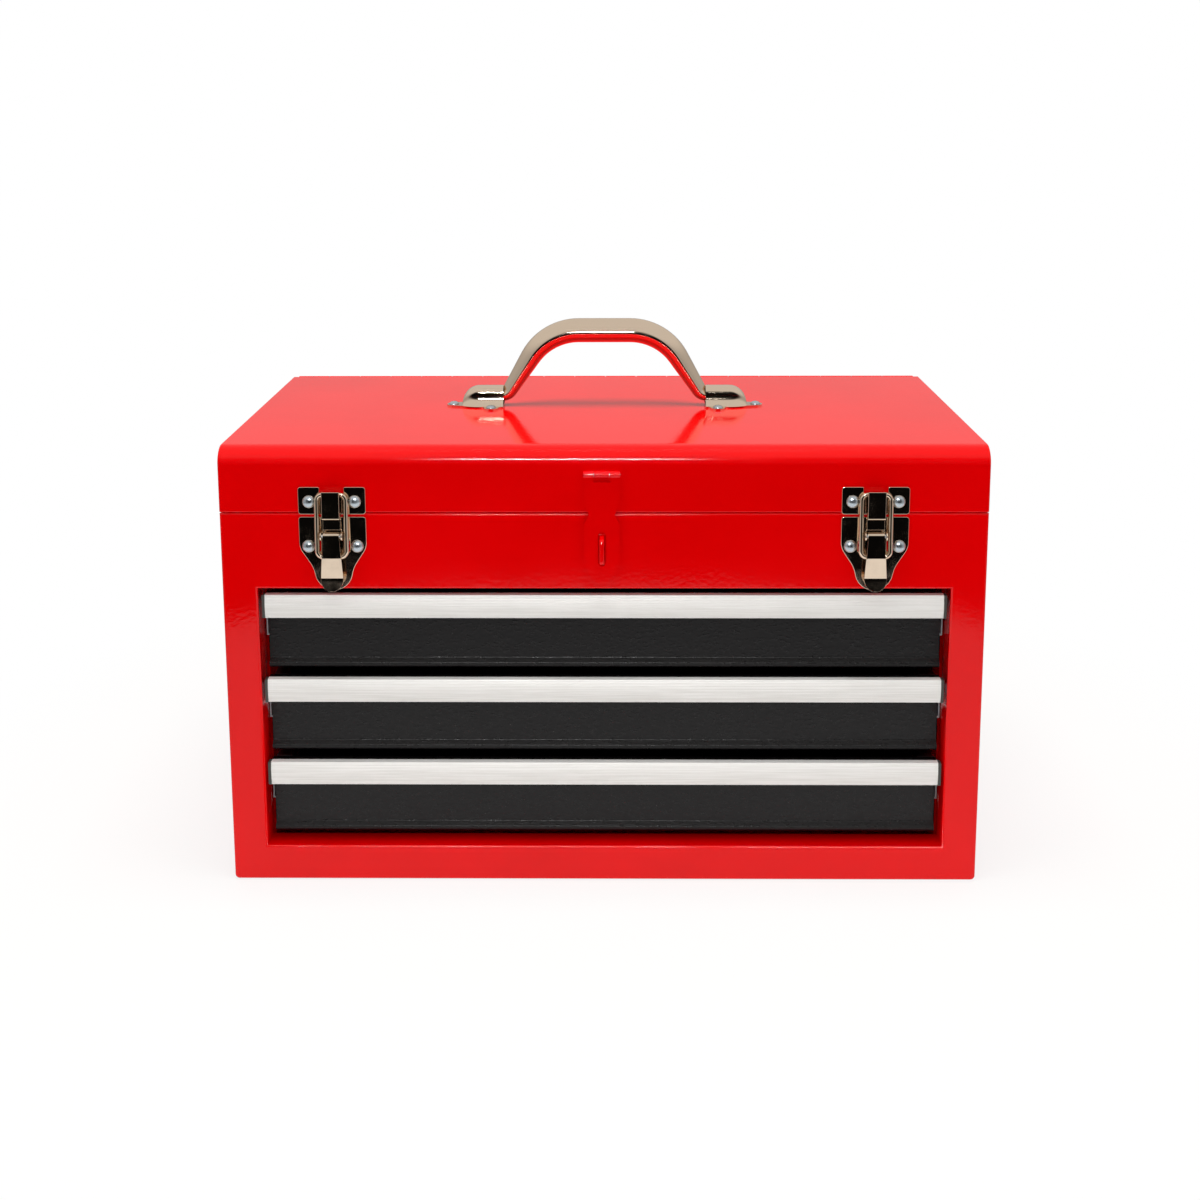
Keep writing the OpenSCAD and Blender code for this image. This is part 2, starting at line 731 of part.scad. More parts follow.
// Strap outline: waisted at the seam, with a rounded tip and the slot for the staple
module strap_outline() {
    waist = strap_half_w - 3;
    tip_r = 5;
    foot_z = slot_bottom_z + 1;
    notch_half_w = hasp_knuckle_x + 0.4;
    difference() {
        union() {
            translate([-strap_half_w, case_h + 7])
                square([2 * strap_half_w, strap_top_z - case_h - 7]);
            polygon([[-strap_half_w, case_h + 7.1], [-waist, case_h + 1], [-waist, case_h - 1.5],
                     [-strap_half_w, case_h - 6.5], [-strap_half_w, foot_z],
                     [-tip_r, strap_tip_z + tip_r * 0.6], [tip_r, strap_tip_z + tip_r * 0.6],
                     [strap_half_w, foot_z], [strap_half_w, case_h - 6.5], [waist, case_h - 1.5],
                     [waist, case_h + 1], [strap_half_w, case_h + 7.1]]);
            translate([0, strap_tip_z + tip_r]) circle(r = tip_r);
        }
        translate([-notch_half_w, hasp_pivot_z - hasp_r - 3.2]) square([2 * notch_half_w, 20]);
        translate([-slot_half_w, slot_bottom_z + slot_half_w])
            square([2 * slot_half_w, slot_top_z - slot_bottom_z - 2 * slot_half_w]);
        for (z = [slot_bottom_z + slot_half_w, slot_top_z - slot_half_w])
            translate([0, z]) circle(r = slot_half_w, $fn = 32);
    }
}

module hasp_strap() {
    color(red) at_hasp() difference() {
        union() {
            front_plate(front_y - strap_back_out - strap_t, front_y - strap_back_out) strap_outline();
            both_sides() front_rod(hasp_r, hasp_knuckle_x + 0.3, strap_half_w,
                                   hasp_pivot_out, hasp_pivot_z);
        }
        front_rod(hasp_pin_r + hinge_fit, -strap_half_w - 1, strap_half_w + 1,
                  hasp_pivot_out, hasp_pivot_z);
    }
}

// Staple: a thick eye on a small pad, with the padlock's hole across it
module hasp_staple() {
    pad_half_w = 9;
    pad_t = 1.2;
    color(red) at_hasp() difference() {
        union() {
            front_plate(front_y - pad_t, front_y)
                round_rect(-pad_half_w, staple_bottom_z - 5, pad_half_w, staple_top_z + 5, 2);
            front_bar(-staple_t / 2, staple_t / 2) {
                translate([0, staple_bottom_z])
                    square([staple_out - staple_r, staple_top_z - staple_bottom_z]);
                translate([0, staple_bottom_z + staple_r])
                    square([staple_out, staple_top_z - staple_bottom_z - 2 * staple_r]);
                for (z = [staple_bottom_z + staple_r, staple_top_z - staple_r])
                    translate([staple_out - staple_r, z]) circle(r = staple_r);
            }
        }
        front_rod(padlock_r, -pad_half_w - 1, pad_half_w + 1, padlock_out, padlock_z);
    }
}

// ---- Handle ----

// Height of the handle's section at a distance along it from its foot
function section_t(s) = min(grip_t, neck_d + s * (grip_t - neck_d) / leg_run);
leg_run = foot_r * leg_angle * PI / 180 + norm([foot_end[0] - leg_top_x, leg_top_z - foot_end[1]])
    + shoulder_r * leg_angle * PI / 180;

// Centre line of one half, from the foot to the grip: [x, z, slope, distance along]
function foot_point(k) = let (a = leg_angle * k / foot_steps)
    [foot_x - foot_r * sin(a), pivot_top_z + foot_r * (1 - cos(a)), a, foot_r * a * PI / 180];
function leg_point(k) = let (f = k / leg_steps, l = norm([foot_end[0] - leg_top_x, leg_top_z - foot_end[1]]))
    [foot_end[0] + f * (leg_top_x - foot_end[0]), foot_end[1] + f * (leg_top_z - foot_end[1]),
     leg_angle, foot_r * leg_angle * PI / 180 + f * l];
function arc_point(k) = let (a = leg_angle * (1 - k / arc_steps))
    [grip_x + shoulder_r * sin(a), grip_z - shoulder_r * (1 - cos(a)), a,
     leg_run - shoulder_r * a * PI / 180];
half_line = concat([[foot_x + 2, pivot_top_z, 0, 0]],
                   [for (k = [0 : foot_steps]) foot_point(k)],
                   [for (k = [1 : leg_steps - 1]) leg_point(k)],
                   [for (k = [0 : arc_steps]) arc_point(k)]);
half_count = len(half_line);
handle_line = concat(half_line,
                     [for (k = [half_count - 1 : -1 : 0])
                         let (p = half_line[k]) [-p[0], p[1], -p[2], p[3]]]);

// One ring of the handle's skin around a point of its centre line
function handle_ring(p) = [for (k = [0 : handle_sides - 1])
    let (t = section_t(p[3]), a = 360 * k / handle_sides, up = t / 2 * cos(a))
    [p[0] + up * sin(p[2]), handle_y + t * 0.52 * sin(a), p[1] + up * cos(p[2])]];

module handle_skin() {
    rings = len(handle_line);
    points = [for (p = handle_line) each handle_ring(p)];
    walls = [for (r = [0 : rings - 2], k = [0 : handle_sides - 1])
        let (a = r * handle_sides + k, b = r * handle_sides + (k + 1) % handle_sides)
        each [[a, a + handle_sides, b + handle_sides], [a, b + handle_sides, b]]];
    first = [for (k = [0 : handle_sides - 1]) k];
    last = [for (k = [handle_sides - 1 : -1 : 0]) (rings - 1) * handle_sides + k];
    polyhedron(points, concat(walls, [first, last]), convexity = 6);
}

module handle() {
    journal_x = bracket_x + cup_t + 0.4;
    color(nickel) {
        handle_skin();
        both_sides() {
            translate([journal_x, handle_y, pivot_top_z]) rotate([0, 90, 0])
                cylinder(r = journal_r, h = journal_l);
            translate([foot_x, handle_y, pivot_top_z]) rotate([0, 90, 0])
                cylinder(d = neck_d, h = 3);
        }
    }
}

// The places of the six bracket screws
module screw_spots() {
    both_sides() {
        translate([tip_screw_x, handle_y, 0]) children();
        for (q = [-1, 1]) translate([ear_screw_x, handle_y + q * ear_screw_y, 0]) children();
    }
}

// Section of the cup across X: a half round on straight sides
module cup_section(r, x0, x1) {
    side_bar(x0, x1) translate([handle_y, lid_top_z]) {
        translate([-r, 0]) square([2 * r, handle_pivot_h]);
        translate([0, handle_pivot_h]) circle(r = r, $fn = hull_fn);
    }
}

// The cup tapers to its nose over the tip screw
module cup_nose(r, wall) {
    x0 = bracket_x + cup_l;
    x1 = x0 + cup_nose_l - wall;
    hull() {
        cup_section(r, x0 - e, x0);
        translate([x1 - 1, handle_y, lid_top_z]) cylinder(r = r * 0.45, h = flange_t + 0.6 - wall * 0.3);
    }
}

// Flange under the cup, with pads for the three screws
module bracket_flange() {
    x1 = bracket_x + cup_l + 2;
    half = cup_out_r + 1.5;
    translate([0, handle_y, lid_top_z]) linear_extrude(flange_t) {
        translate([bracket_x, -half]) square([x1 - bracket_x, 2 * half]);
        polygon([[x1 - e, -half], [tip_screw_x + 1, -screw_pad_r + 0.4],
                 [tip_screw_x + 1, screw_pad_r - 0.4], [x1 - e, half]]);
        translate([tip_screw_x, 0]) circle(r = screw_pad_r);
        for (q = [-1, 1]) {
            translate([ear_screw_x, q * ear_screw_y]) circle(r = screw_pad_r);
            translate([ear_screw_x - screw_pad_r, min(0, q * ear_screw_y)])
                square([2 * screw_pad_r, ear_screw_y]);
        }
    }
}

module bracket_right() {
    difference() {
        union() {
            bracket_flange();
            cup_section(cup_out_r, bracket_x, bracket_x + cup_l);
            cup_nose(cup_out_r, 0);
        }
        // Room inside for the journal, open towards the lid
        difference() {
            union() {
                cup_section(cup_r, bracket_x + cup_t, bracket_x + cup_l);
                cup_nose(cup_out_r - cup_t, cup_t);
            }
            block([bracket_x, handle_y - 20, lid_top_z - 1],
                  [tip_screw_x + 10, handle_y + 20, lid_top_z + e]);
        }
        translate([bracket_x + cup_t, handle_y, pivot_top_z]) rotate([0, 90, 0])
            cylinder(r = cup_r, h = cup_l - cup_t);
        translate([bracket_x - 1, handle_y, pivot_top_z]) rotate([0, 90, 0])
            cylinder(r = neck_d / 2 + neck_room, h = cup_t + 2);
        bracket_screw_holes();
    }
}

module bracket_screw_holes() {
    translate([tip_screw_x, handle_y, lid_top_z - 1])
        cylinder(r = screw_r + hole_room, h = flange_t + 2, $fn = 24);
    for (q = [-1, 1]) translate([ear_screw_x, handle_y + q * ear_screw_y, lid_top_z - 1])
        cylinder(r = screw_r + hole_room, h = flange_t + 2, $fn = 24);
}

module handle_bracket(side) {
    color(nickel) mirror([side < 0 ? 1 : 0, 0, 0]) bracket_right();
}

// Pan-head screws with a cross recess, down through the flange and the lid
module bracket_screws() {
    head_z = lid_top_z + flange_t;
    sphere_r = (screw_head_r * screw_head_r + screw_head_h * screw_head_h) / (2 * screw_head_h);
    shank_l = flange_t + sheet + nut_h + 1;
    color(zinc) screw_spots() difference() {
        union() {
            intersection() {
                translate([0, 0, head_z + screw_head_h - sphere_r]) sphere(r = sphere_r);
                translate([0, 0, head_z]) cylinder(r = screw_head_r + 1, h = screw_head_h + 1);
            }
            translate([0, 0, head_z - shank_l]) cylinder(r = screw_r, h = shank_l + e, $fn = 24);
        }
        for (a = [0, 90]) rotate([0, 0, a])
            block([-screw_head_r * 0.55, -0.4, head_z + 0.9], [screw_head_r * 0.55, 0.4, head_z + 4]);
    }
}

module bracket_nuts() {
    color(zinc) screw_spots() translate([0, 0, lid_top_z - sheet - nut_h]) difference() {
        cylinder(r = nut_r, h = nut_h, $fn = 6);
        translate([0, 0, -1]) cylinder(r = screw_r, h = nut_h + 2, $fn = 24);
    }
}

// ---- Drawers ----

// Side outline of a drawer front: top edge folded forward, foot stepped out and bent back
module front_outline(i) {
    top = drawer_top(i);
    z = drawer_z(i);
    r = front_bend_r;
    t = drawer_sheet;
    flange_y = front_y + pull_recess + pull_t + 0.2;
    band_y = front_face_y - band_out;
    slope_z = z + band_h;
    slope_end_z = slope_z - band_out;
    // A sheet that slopes at 45 degrees is lower on its inside by this much
    inner_drop = t * tan(22.5);
    translate([flange_y, top - t]) square([front_back_y - flange_y, t]);
    translate([front_face_y, slope_z - e]) square([t, top - slope_z + e]);
    polygon([[band_y, slope_end_z], [band_y, slope_end_z - inner_drop],
             [band_y + t, slope_end_z - inner_drop], [front_back_y, slope_z - inner_drop],
             [front_back_y, slope_z], [front_face_y, slope_z]]);
    translate([band_y, z + r]) square([t, slope_end_z - inner_drop - z - r + e]);
    intersection() {
        translate([band_y + r, z + r]) difference() {
            circle(r = r);
            circle(r = r - t);
        }
        translate([band_y, z]) square([r + e, r + e]);
    }
    translate([band_y + r, z]) square([front_back_y - band_y - r + bottom_lip, t]);
}

module drawer_front(i) {
    color(black) side_bar(-front_x, front_x) front_outline(i);
}

module drawer_tray(i) {
    t = drawer_sheet;
    z = drawer_z(i) + t;
    top = drawer_z(i) + tray_side_h;
    hem_h = 6;
    color(black) union() {
        both_sides() block([tray_x - t, front_back_y, z], [tray_x, tray_back_y, top]);
        both_sides() block([tray_x - 2 * t, front_back_y, top - hem_h], [tray_x - t + e, tray_back_y, top]);
        block([-tray_x, front_back_y, z], [tray_x, tray_back_y, z + t]);
        block([-tray_x, tray_back_y - t, z], [tray_x, tray_back_y, top]);
        block([-tray_x, tray_back_y - 2 * t, top - hem_h], [tray_x, tray_back_y - t + e, top]);
    }
}

// Side outline of the pull: a bowed face, a groove for the folded edge and a finger lip
module pull_outline(i, room) {
    y0 = front_y + pull_recess;
    top = drawer_top(i) + 0.9;
    bow_r = 45;
    t = drawer_sheet;
    difference() {
        union() {
            intersection() {
                translate([y0 + bow_r, top - pull_h / 2]) circle(r = bow_r, $fn = 180);
                translate([y0 - 1, top - pull_h]) square([pull_t + 1, pull_h]);
            }
            translate([y0 + 1, top - 0.9]) square([pull_t + 2.6, 0.9]);
            translate([y0 + 1, top - 0.9 - t - 1]) square([pull_t + 2.6, 1]);
            translate([y0 + 1, top - pull_h]) square([pull_t + 1.6, 1.2]);
        }
        translate([y0 + pull_t - room, top - 0.9 - t - room]) square([10, t + 2 * room]);
    }
}

module drawer_pull(i) {
    color(aluminium) side_bar(-pull_x + cap_l, pull_x - cap_l) pull_outline(i, 0);
}

// Plastic end caps, a little fuller than the strip
module pull_caps(i) {
    y0 = front_y + pull_recess - 0.2;
    top = drawer_top(i) + 0.9;
    color(cap_grey) both_sides() difference() {
        block([pull_x - cap_l, y0, top - pull_h], [pull_x, y0 + pull_t + 4, top]);
        block([pull_x - cap_l - 1, front_y + pull_recess + pull_t, top - 0.9 - drawer_sheet - 0.2],
              [front_x + 0.3, front_y + 10, top - 0.7]);
    }
}

// ---- Ball slides ----

// Channel section in X and Z: a web at x1 with two flanges reaching in to x0
module channel(x0, x1, half_h, t, web_at_x1) {
    w = web_at_x1 ? x1 - t : x0;
    translate([w, -half_h]) square([t, 2 * half_h]);
    for (z = [-half_h, half_h - t]) translate([x0, z]) square([x1 - x0, t]);
}

module slide_outer(i) {
    color(steel) both_sides() front_plate(slide_y0, slide_y1) translate([0, slide_z(i)])
        channel(slide_mouth_x, slide_web_x, slide_h / 2, slide_t, true);
}

module slide_inner(i) {
    color(steel) both_sides() front_plate(slide_y0, slide_y1) translate([0, slide_z(i)])
        channel(tray_x, inner_tip_x, inner_half_h, slide_t, false);
}

// The places of the balls of one slide
module ball_spots() {
    for (k = [0 : ball_count - 1], s = [-1, 1])
        translate([ball_x, slide_mid_y + (k - (ball_count - 1) / 2) * ball_pitch, s * ball_z]) children();
}

module slide_cage(i) {
    color(zinc) both_sides() translate([0, 0, slide_z(i)]) difference() {
        front_plate(slide_mid_y - cage_l / 2, slide_mid_y + cage_l / 2)
            channel(cage_edge_x, cage_web_x, ball_z + cage_t / 2, cage_t, true);
        ball_spots() translate([0, 0, -2]) cylinder(r = ball_hole_r, h = 4, $fn = 24);
    }
}

module slide_balls(i) {
    color(zinc) both_sides() translate([0, 0, slide_z(i)]) ball_spots() sphere(d = ball_d, $fn = 24);
}

case_shell();
back_panel();
tray_floor();
slide_posts();
hinge_case_leaf();
latch_plate(-1);  // latch_plate_left
latch_plate(1);  // latch_plate_right
lever_pin(-1);  // lever_pin_left
lever_pin(1);  // lever_pin_right
rivets(plate_rivet);  // latch_plate_rivets
hasp_staple();
slide_outer(1);  // slide_outer_1
slide_outer(2);  // slide_outer_2
slide_outer(3);  // slide_outer_3
lid_shell();
hinge_lid_leaf();
hinge_pin();
latch_keeper(-1);  // latch_keeper_left
latch_keeper(1);  // latch_keeper_right
rivets(keeper_rivet);  // keeper_rivets
hasp_leaf();
hasp_pin();
handle_bracket(-1);  // handle_bracket_left
handle_bracket(1);  // handle_bracket_right
bracket_screws();
bracket_nuts();
handle();
hasp_strap();
latch_lever(-1);  // latch_lever_left
latch_lever(1);  // latch_lever_right
latch_bail(-1);  // latch_bail_left
latch_bail(1);  // latch_bail_right
drawer_tray(1);  // drawer_tray_1
drawer_tray(2);  // drawer_tray_2
drawer_tray(3);  // drawer_tray_3
drawer_front(1);  // drawer_front_1
drawer_front(2);  // drawer_front_2
drawer_front(3);  // drawer_front_3
drawer_pull(1);  // drawer_pull_1
drawer_pull(2);  // drawer_pull_2
drawer_pull(3);  // drawer_pull_3
pull_caps(1);  // pull_caps_1
pull_caps(2);  // pull_caps_2
pull_caps(3);  // pull_caps_3
slide_inner(1);  // slide_inner_1
slide_inner(2);  // slide_inner_2
slide_inner(3);  // slide_inner_3
slide_cage(1);  // slide_cage_1
slide_cage(2);  // slide_cage_2
slide_cage(3);  // slide_cage_3
slide_balls(1);  // slide_balls_1
slide_balls(2);  // slide_balls_2
slide_balls(3);  // slide_balls_3
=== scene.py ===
# %% [markdown]
# # A steel tool box with drawers
# The real box is bent sheet steel, powder-coated red, with black wrinkle-coated drawers,
# satin aluminium pull strips and nickel-plated latches and handle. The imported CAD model
# gives every piece its place. Here the pieces that show get the bends, rounded edges and
# finishes that a plain CAD solid lacks.

# %% Load the frame
import json
import math
import bmesh
import bpy
from mathutils import Matrix, Vector


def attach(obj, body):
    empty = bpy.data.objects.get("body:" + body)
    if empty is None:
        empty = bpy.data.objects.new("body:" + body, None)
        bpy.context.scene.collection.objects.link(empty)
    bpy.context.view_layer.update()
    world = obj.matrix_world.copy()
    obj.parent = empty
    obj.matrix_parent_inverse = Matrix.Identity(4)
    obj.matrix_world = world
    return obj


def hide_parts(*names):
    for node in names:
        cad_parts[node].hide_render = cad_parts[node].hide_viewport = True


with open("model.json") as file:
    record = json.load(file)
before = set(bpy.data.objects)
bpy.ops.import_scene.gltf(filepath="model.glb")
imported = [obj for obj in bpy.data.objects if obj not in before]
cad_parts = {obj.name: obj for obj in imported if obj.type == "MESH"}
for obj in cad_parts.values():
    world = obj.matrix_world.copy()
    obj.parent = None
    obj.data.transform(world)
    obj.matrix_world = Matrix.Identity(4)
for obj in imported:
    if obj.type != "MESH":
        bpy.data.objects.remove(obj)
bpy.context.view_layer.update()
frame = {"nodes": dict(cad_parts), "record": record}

nodes = frame["nodes"]
MM = 0.001

# %% [markdown]
# ## Camera
# The photograph was taken from just above the lid with a normal lens, and then cropped so
# that the box sits low in the frame. The camera is placed by its position, turn and tilt in
# millimetres and degrees, and a small vertical shift does what the crop did.

# %% Place the camera
camera_data = bpy.data.cameras.new("photo_camera")
camera = bpy.data.objects.new("photo_camera", camera_data)
bpy.context.scene.collection.objects.link(camera)
bpy.context.scene.camera = camera

yaw, tilt, roll = (math.radians(a) for a in (-0.57, 9.245, -0.157))
ahead = Vector((math.sin(yaw) * math.cos(tilt), math.cos(yaw) * math.cos(tilt), -math.sin(tilt)))
level = Vector((math.cos(yaw), -math.sin(yaw), 0.0))
over = level.cross(ahead)
right = math.cos(roll) * level + math.sin(roll) * over
above = math.cos(roll) * over - math.sin(roll) * level
camera.matrix_world = Matrix.Translation(Vector((7.8, -1095.2, 540.3)) * MM) @ Matrix(
    (right, above, -ahead)
).transposed().to_4x4()

FOCAL_PIXELS = 1521
camera_data.sensor_width = 36
camera_data.lens = camera_data.sensor_width * FOCAL_PIXELS / 1200
camera_data.shift_y = -0.225
camera_data.clip_end = 20
print("lens", round(camera_data.lens, 2), "mm")

# %% [markdown]
# ## One way to add a node
# A procedural material is a small network of nodes. This one function adds a node with its
# values, its links and its settings, so that a material below reads from top to bottom.

# %% A helper for nodes and colours
def add_node(tree, kind, values={}, links={}, **settings):
    node = tree.nodes.new(kind)
    for name, value in settings.items():
        setattr(node, name, value)
    for socket, value in values.items():
        node.inputs[socket].default_value = value
    for socket, source in links.items():
        tree.links.new(source, node.inputs[socket])
    return node


def linear(hex_colour):
    """An sRGB colour written as hex, as the linear numbers that Blender uses."""
    channels = [int(hex_colour[i : i + 2], 16) / 255 for i in (1, 3, 5)]
    return tuple(c / 12.92 if c < 0.04045 else ((c + 0.055) / 1.055) ** 2.4 for c in channels) + (1.0,)


print("mid grey is", round(linear("#808080")[0], 3))

# %% [markdown]
# ## Studio
# The box stood on a small white table in front of a white sweep. In the mirror-bright latches
# the room on the photographer's side shows nearly black, and the sweep and the table show
# white. So the world is white all round, with one dark part in front. Where the camera looks
# past the object it sees plain white, mirrors see the sweep, and matt surfaces get a plain
# share of its light.

# %% World: a white sweep with a dark room in front
SWEEP_LOW, SWEEP_HIGH, SWEEP_LIGHT = 0.46, 0.76, 0.5
world = bpy.data.worlds.new("studio")
bpy.context.scene.world = world
world.use_nodes = True
tree = world.node_tree
tree.nodes.clear()
direction = add_node(tree, "ShaderNodeTexCoord")
axes = add_node(tree, "ShaderNodeSeparateXYZ", links={0: direction.outputs["Generated"]})
frontal = add_node(tree, "ShaderNodeMath", {1: -1.0}, {0: axes.outputs["Y"]}, operation="MULTIPLY")
dark_room = add_node(
    tree,
    "ShaderNodeMapRange",
    {"From Min": 0.74, "From Max": 0.9, "To Min": 1.0, "To Max": 0.006},
    {"Value": frontal.outputs[0]},
    interpolation_type="SMOOTHSTEP",
)
# The sweep is lit from above, so it is brighter high up than at the horizon.
sweep_height = add_node(
    tree,
    "ShaderNodeMapRange",
    {"From Min": 0.12, "From Max": 0.6, "To Min": SWEEP_LOW, "To Max": SWEEP_HIGH},
    {"Value": axes.outputs["Z"]},
    interpolation_type="SMOOTHSTEP",
)
mirrored = add_node(
    tree,
    "ShaderNodeMath",
    links={0: sweep_height.outputs[0], 1: dark_room.outputs[0]},
    operation="MULTIPLY",
)
lit = add_node(tree, "ShaderNodeMath", {1: SWEEP_LIGHT}, {0: dark_room.outputs[0]}, operation="MULTIPLY")
sweep = add_node(
    tree, "ShaderNodeBackground", {"Color": linear("#fffdfa")}, {"Strength": mirrored.outputs[0]}
)
soft_light = add_node(
    tree, "ShaderNodeBackground", {"Color": linear("#fffdfa")}, {"Strength": lit.outputs[0]}
)
plain_white = add_node(tree, "ShaderNodeBackground", {"Color": (1, 1, 1, 1), "Strength": 1.0})
ray = add_node(tree, "ShaderNodeLightPath")
glossy_or_clear = add_node(
    tree,
    "ShaderNodeMath",
    links={0: ray.outputs["Is Glossy Ray"], 1: ray.outputs["Is Transmission Ray"]},
    operation="MAXIMUM",
)
by_mirror = add_node(
    tree,
    "ShaderNodeMixShader",
    links={0: glossy_or_clear.outputs[0], 1: soft_light.outputs[0], 2: sweep.outputs[0]},
)
seen = add_node(
    tree,
    "ShaderNodeMixShader",
    links={0: ray.outputs["Is Camera Ray"], 1: by_mirror.outputs[0], 2: plain_white.outputs[0]},
)
add_node(tree, "ShaderNodeOutputWorld", links={"Surface": seen.outputs[0]})
print("world nodes:", len(tree.nodes))


# %% Lamps
def add_lamp(name, place, target, size, watts, colour="#ffffff"):
    data = bpy.data.lights.new(name, "AREA")
    data.shape = "RECTANGLE"
    data.size, data.size_y = size
    data.energy = watts
    data.color = linear(colour)[:3]
    lamp = bpy.data.objects.new(name, data)
    bpy.context.scene.collection.objects.link(lamp)
    lamp.location = place
    lamp.rotation_euler = (Vector(target) - Vector(place)).to_track_quat("-Z", "Y").to_euler()
    return lamp


# The key is a soft box overhead, kept out of the reflections.
key = add_lamp("key", (0.0, -0.2, 1.85), (0.0, -0.05, 0.25), (0.9, 0.6), 24.0)
key.visible_glossy = False
# A thin strip above the camera is the one lamp that mirrors see. It draws the white line along
# the handle and the bright line low on the bend of the lid. Matt surfaces get nothing from it.
strip = add_lamp("strip", (-0.08, -1.55, 1.0), (-0.05, -0.12, 0.3), (0.4, 0.02), 9.0)
strip.visible_diffuse = False
# The fill is a large soft panel behind the camera, kept out of the reflections.
fill = add_lamp("fill", (0.0, -2.1, 0.75), (0.0, -0.12, 0.16), (1.8, 1.1), 12.0)
fill.visible_glossy = False
print("lamps:", key.name, strip.name, fill.name)

# %% [markdown]
# ## Table
# The table top is a pale disc, small enough that the upright latch plates reflect the dark
# room beyond its edge, while the leaning latch levers reflect the table itself. It fades to
# the plain white around it, and keeps the soft shadow under the box.

# %% Table top
TABLE_R = 0.74
table_bm = bmesh.new()
bmesh.ops.create_circle(table_bm, cap_ends=True, radius=TABLE_R, segments=96)
bmesh.ops.translate(table_bm, vec=(0, 0, -0.0004), verts=table_bm.verts)
table_mesh = bpy.data.meshes.new("table_top")
table_bm.to_mesh(table_mesh)
table_bm.free()
table = bpy.data.objects.new("table_top", table_mesh)
bpy.context.scene.collection.objects.link(table)

laminate = bpy.data.materials.new("White laminate table")
laminate.use_nodes = True
tree = laminate.node_tree
tree.nodes.clear()
place = add_node(tree, "ShaderNodeTexCoord")
radius = add_node(tree, "ShaderNodeVectorMath", links={0: place.outputs["Object"]}, operation="LENGTH")
fade = add_node(
    tree,
    "ShaderNodeMapRange",
    {"From Min": 0.36, "From Max": 0.6, "To Min": 0.8, "To Max": 1.0},
    {"Value": radius.outputs["Value"]},
    interpolation_type="SMOOTHSTEP",
)
ray = add_node(tree, "ShaderNodeLightPath")
mirror_ray = add_node(
    tree,
    "ShaderNodeMath",
    links={0: ray.outputs["Is Glossy Ray"], 1: ray.outputs["Is Transmission Ray"]},
    operation="MAXIMUM",
)
seen = add_node(
    tree,
    "ShaderNodeMath",
    links={0: ray.outputs["Is Camera Ray"], 1: mirror_ray.outputs[0]},
    operation="MAXIMUM",
)
share = add_node(
    tree, "ShaderNodeMath", links={0: seen.outputs[0], 1: fade.outputs[0]}, operation="MULTIPLY"
)
matt = add_node(tree, "ShaderNodeBsdfDiffuse", {"Color": linear("#f4f2ee")})
white = add_node(tree, "ShaderNodeEmission", {"Color": (1, 1, 1, 1), "Strength": 1.0})
mixed = add_node(
    tree,
    "ShaderNodeMixShader",
    links={0: share.outputs[0], 1: matt.outputs[0], 2: white.outputs[0]},
)
add_node(tree, "ShaderNodeOutputMaterial", links={"Surface": mixed.outputs[0]})
table_mesh.materials.append(laminate)
print("table radius", TABLE_R, "m")

# %% [markdown]
# ## Materials
# Each finish starts from what the real one is. Patterns read Object coordinates, which are
# metres here, so a noise with features of a given size in millimetres has a scale of
# 1000 / size.

# %% Start of a material
def start_material(name, values):
    """A material with its shader, and the Object coordinates that its patterns read."""
    material = bpy.data.materials.new(name)
    material.use_nodes = True
    tree = material.node_tree
    tree.nodes.clear()
    place = add_node(tree, "ShaderNodeTexCoord").outputs["Object"]
    shader = add_node(tree, "ShaderNodeBsdfPrincipled", values)
    add_node(tree, "ShaderNodeOutputMaterial", links={"Surface": shader.outputs[0]})
    return material, tree, place, shader


def per_mm(size):
    """Noise scale whose features are about this many millimetres wide."""
    return 1000 / size


print("2.5 mm features need scale", per_mm(2.5))

# %% [markdown]
# **Red powder coat.** The powder is sprayed dry and melted in an oven. It flows out glossy,
# but not flat: an orange peel, 2 to 3 mm across, ripples what it mirrors. On the real box it
# breaks the highlights into sparkles; here it is kept low, so that they stay whole. The gloss
# varies a little from place to place.

# %% Red powder coat
red_coat, tree, place, shader = start_material(
    "Gloss red powder coat", {"IOR": 1.5, "Specular IOR Level": 0.27}
)
cloud = add_node(tree, "ShaderNodeTexNoise", {"Scale": per_mm(70), "Detail": 3.0}, {"Vector": place})
red_ramp = add_node(tree, "ShaderNodeValToRGB", links={"Fac": cloud.outputs[0]})
red_ramp.color_ramp.elements[0].position = 0.3
red_ramp.color_ramp.elements[0].color = linear("#e60002")
red_ramp.color_ramp.elements[1].position = 0.7
red_ramp.color_ramp.elements[1].color = linear("#ee0004")
tree.links.new(red_ramp.outputs[0], shader.inputs["Base Color"])
gloss = add_node(
    tree,
    "ShaderNodeMapRange",
    {"From Min": 0.3, "From Max": 0.7, "To Min": 0.08, "To Max": 0.11},
    {"Value": cloud.outputs[0]},
)
tree.links.new(gloss.outputs[0], shader.inputs["Roughness"])
peel = add_node(tree, "ShaderNodeTexNoise", {"Scale": per_mm(2.6), "Detail": 1.0}, {"Vector": place})
peel_bump = add_node(
    tree,
    "ShaderNodeBump",
    {"Strength": 1.0, "Distance": 0.05 * MM},
    {"Height": peel.outputs[0]},
)
tree.links.new(peel_bump.outputs[0], shader.inputs["Normal"])
print(red_coat.name, "has", len(tree.nodes), "nodes")

# %% [markdown]
# **Black wrinkle coat.** This powder is made to shrivel as it cures, into fine ridges that
# run a little along the sheet. The ridges are about 1 mm apart. They are drawn 1.6 mm apart,
# because finer ones would vanish in the render.

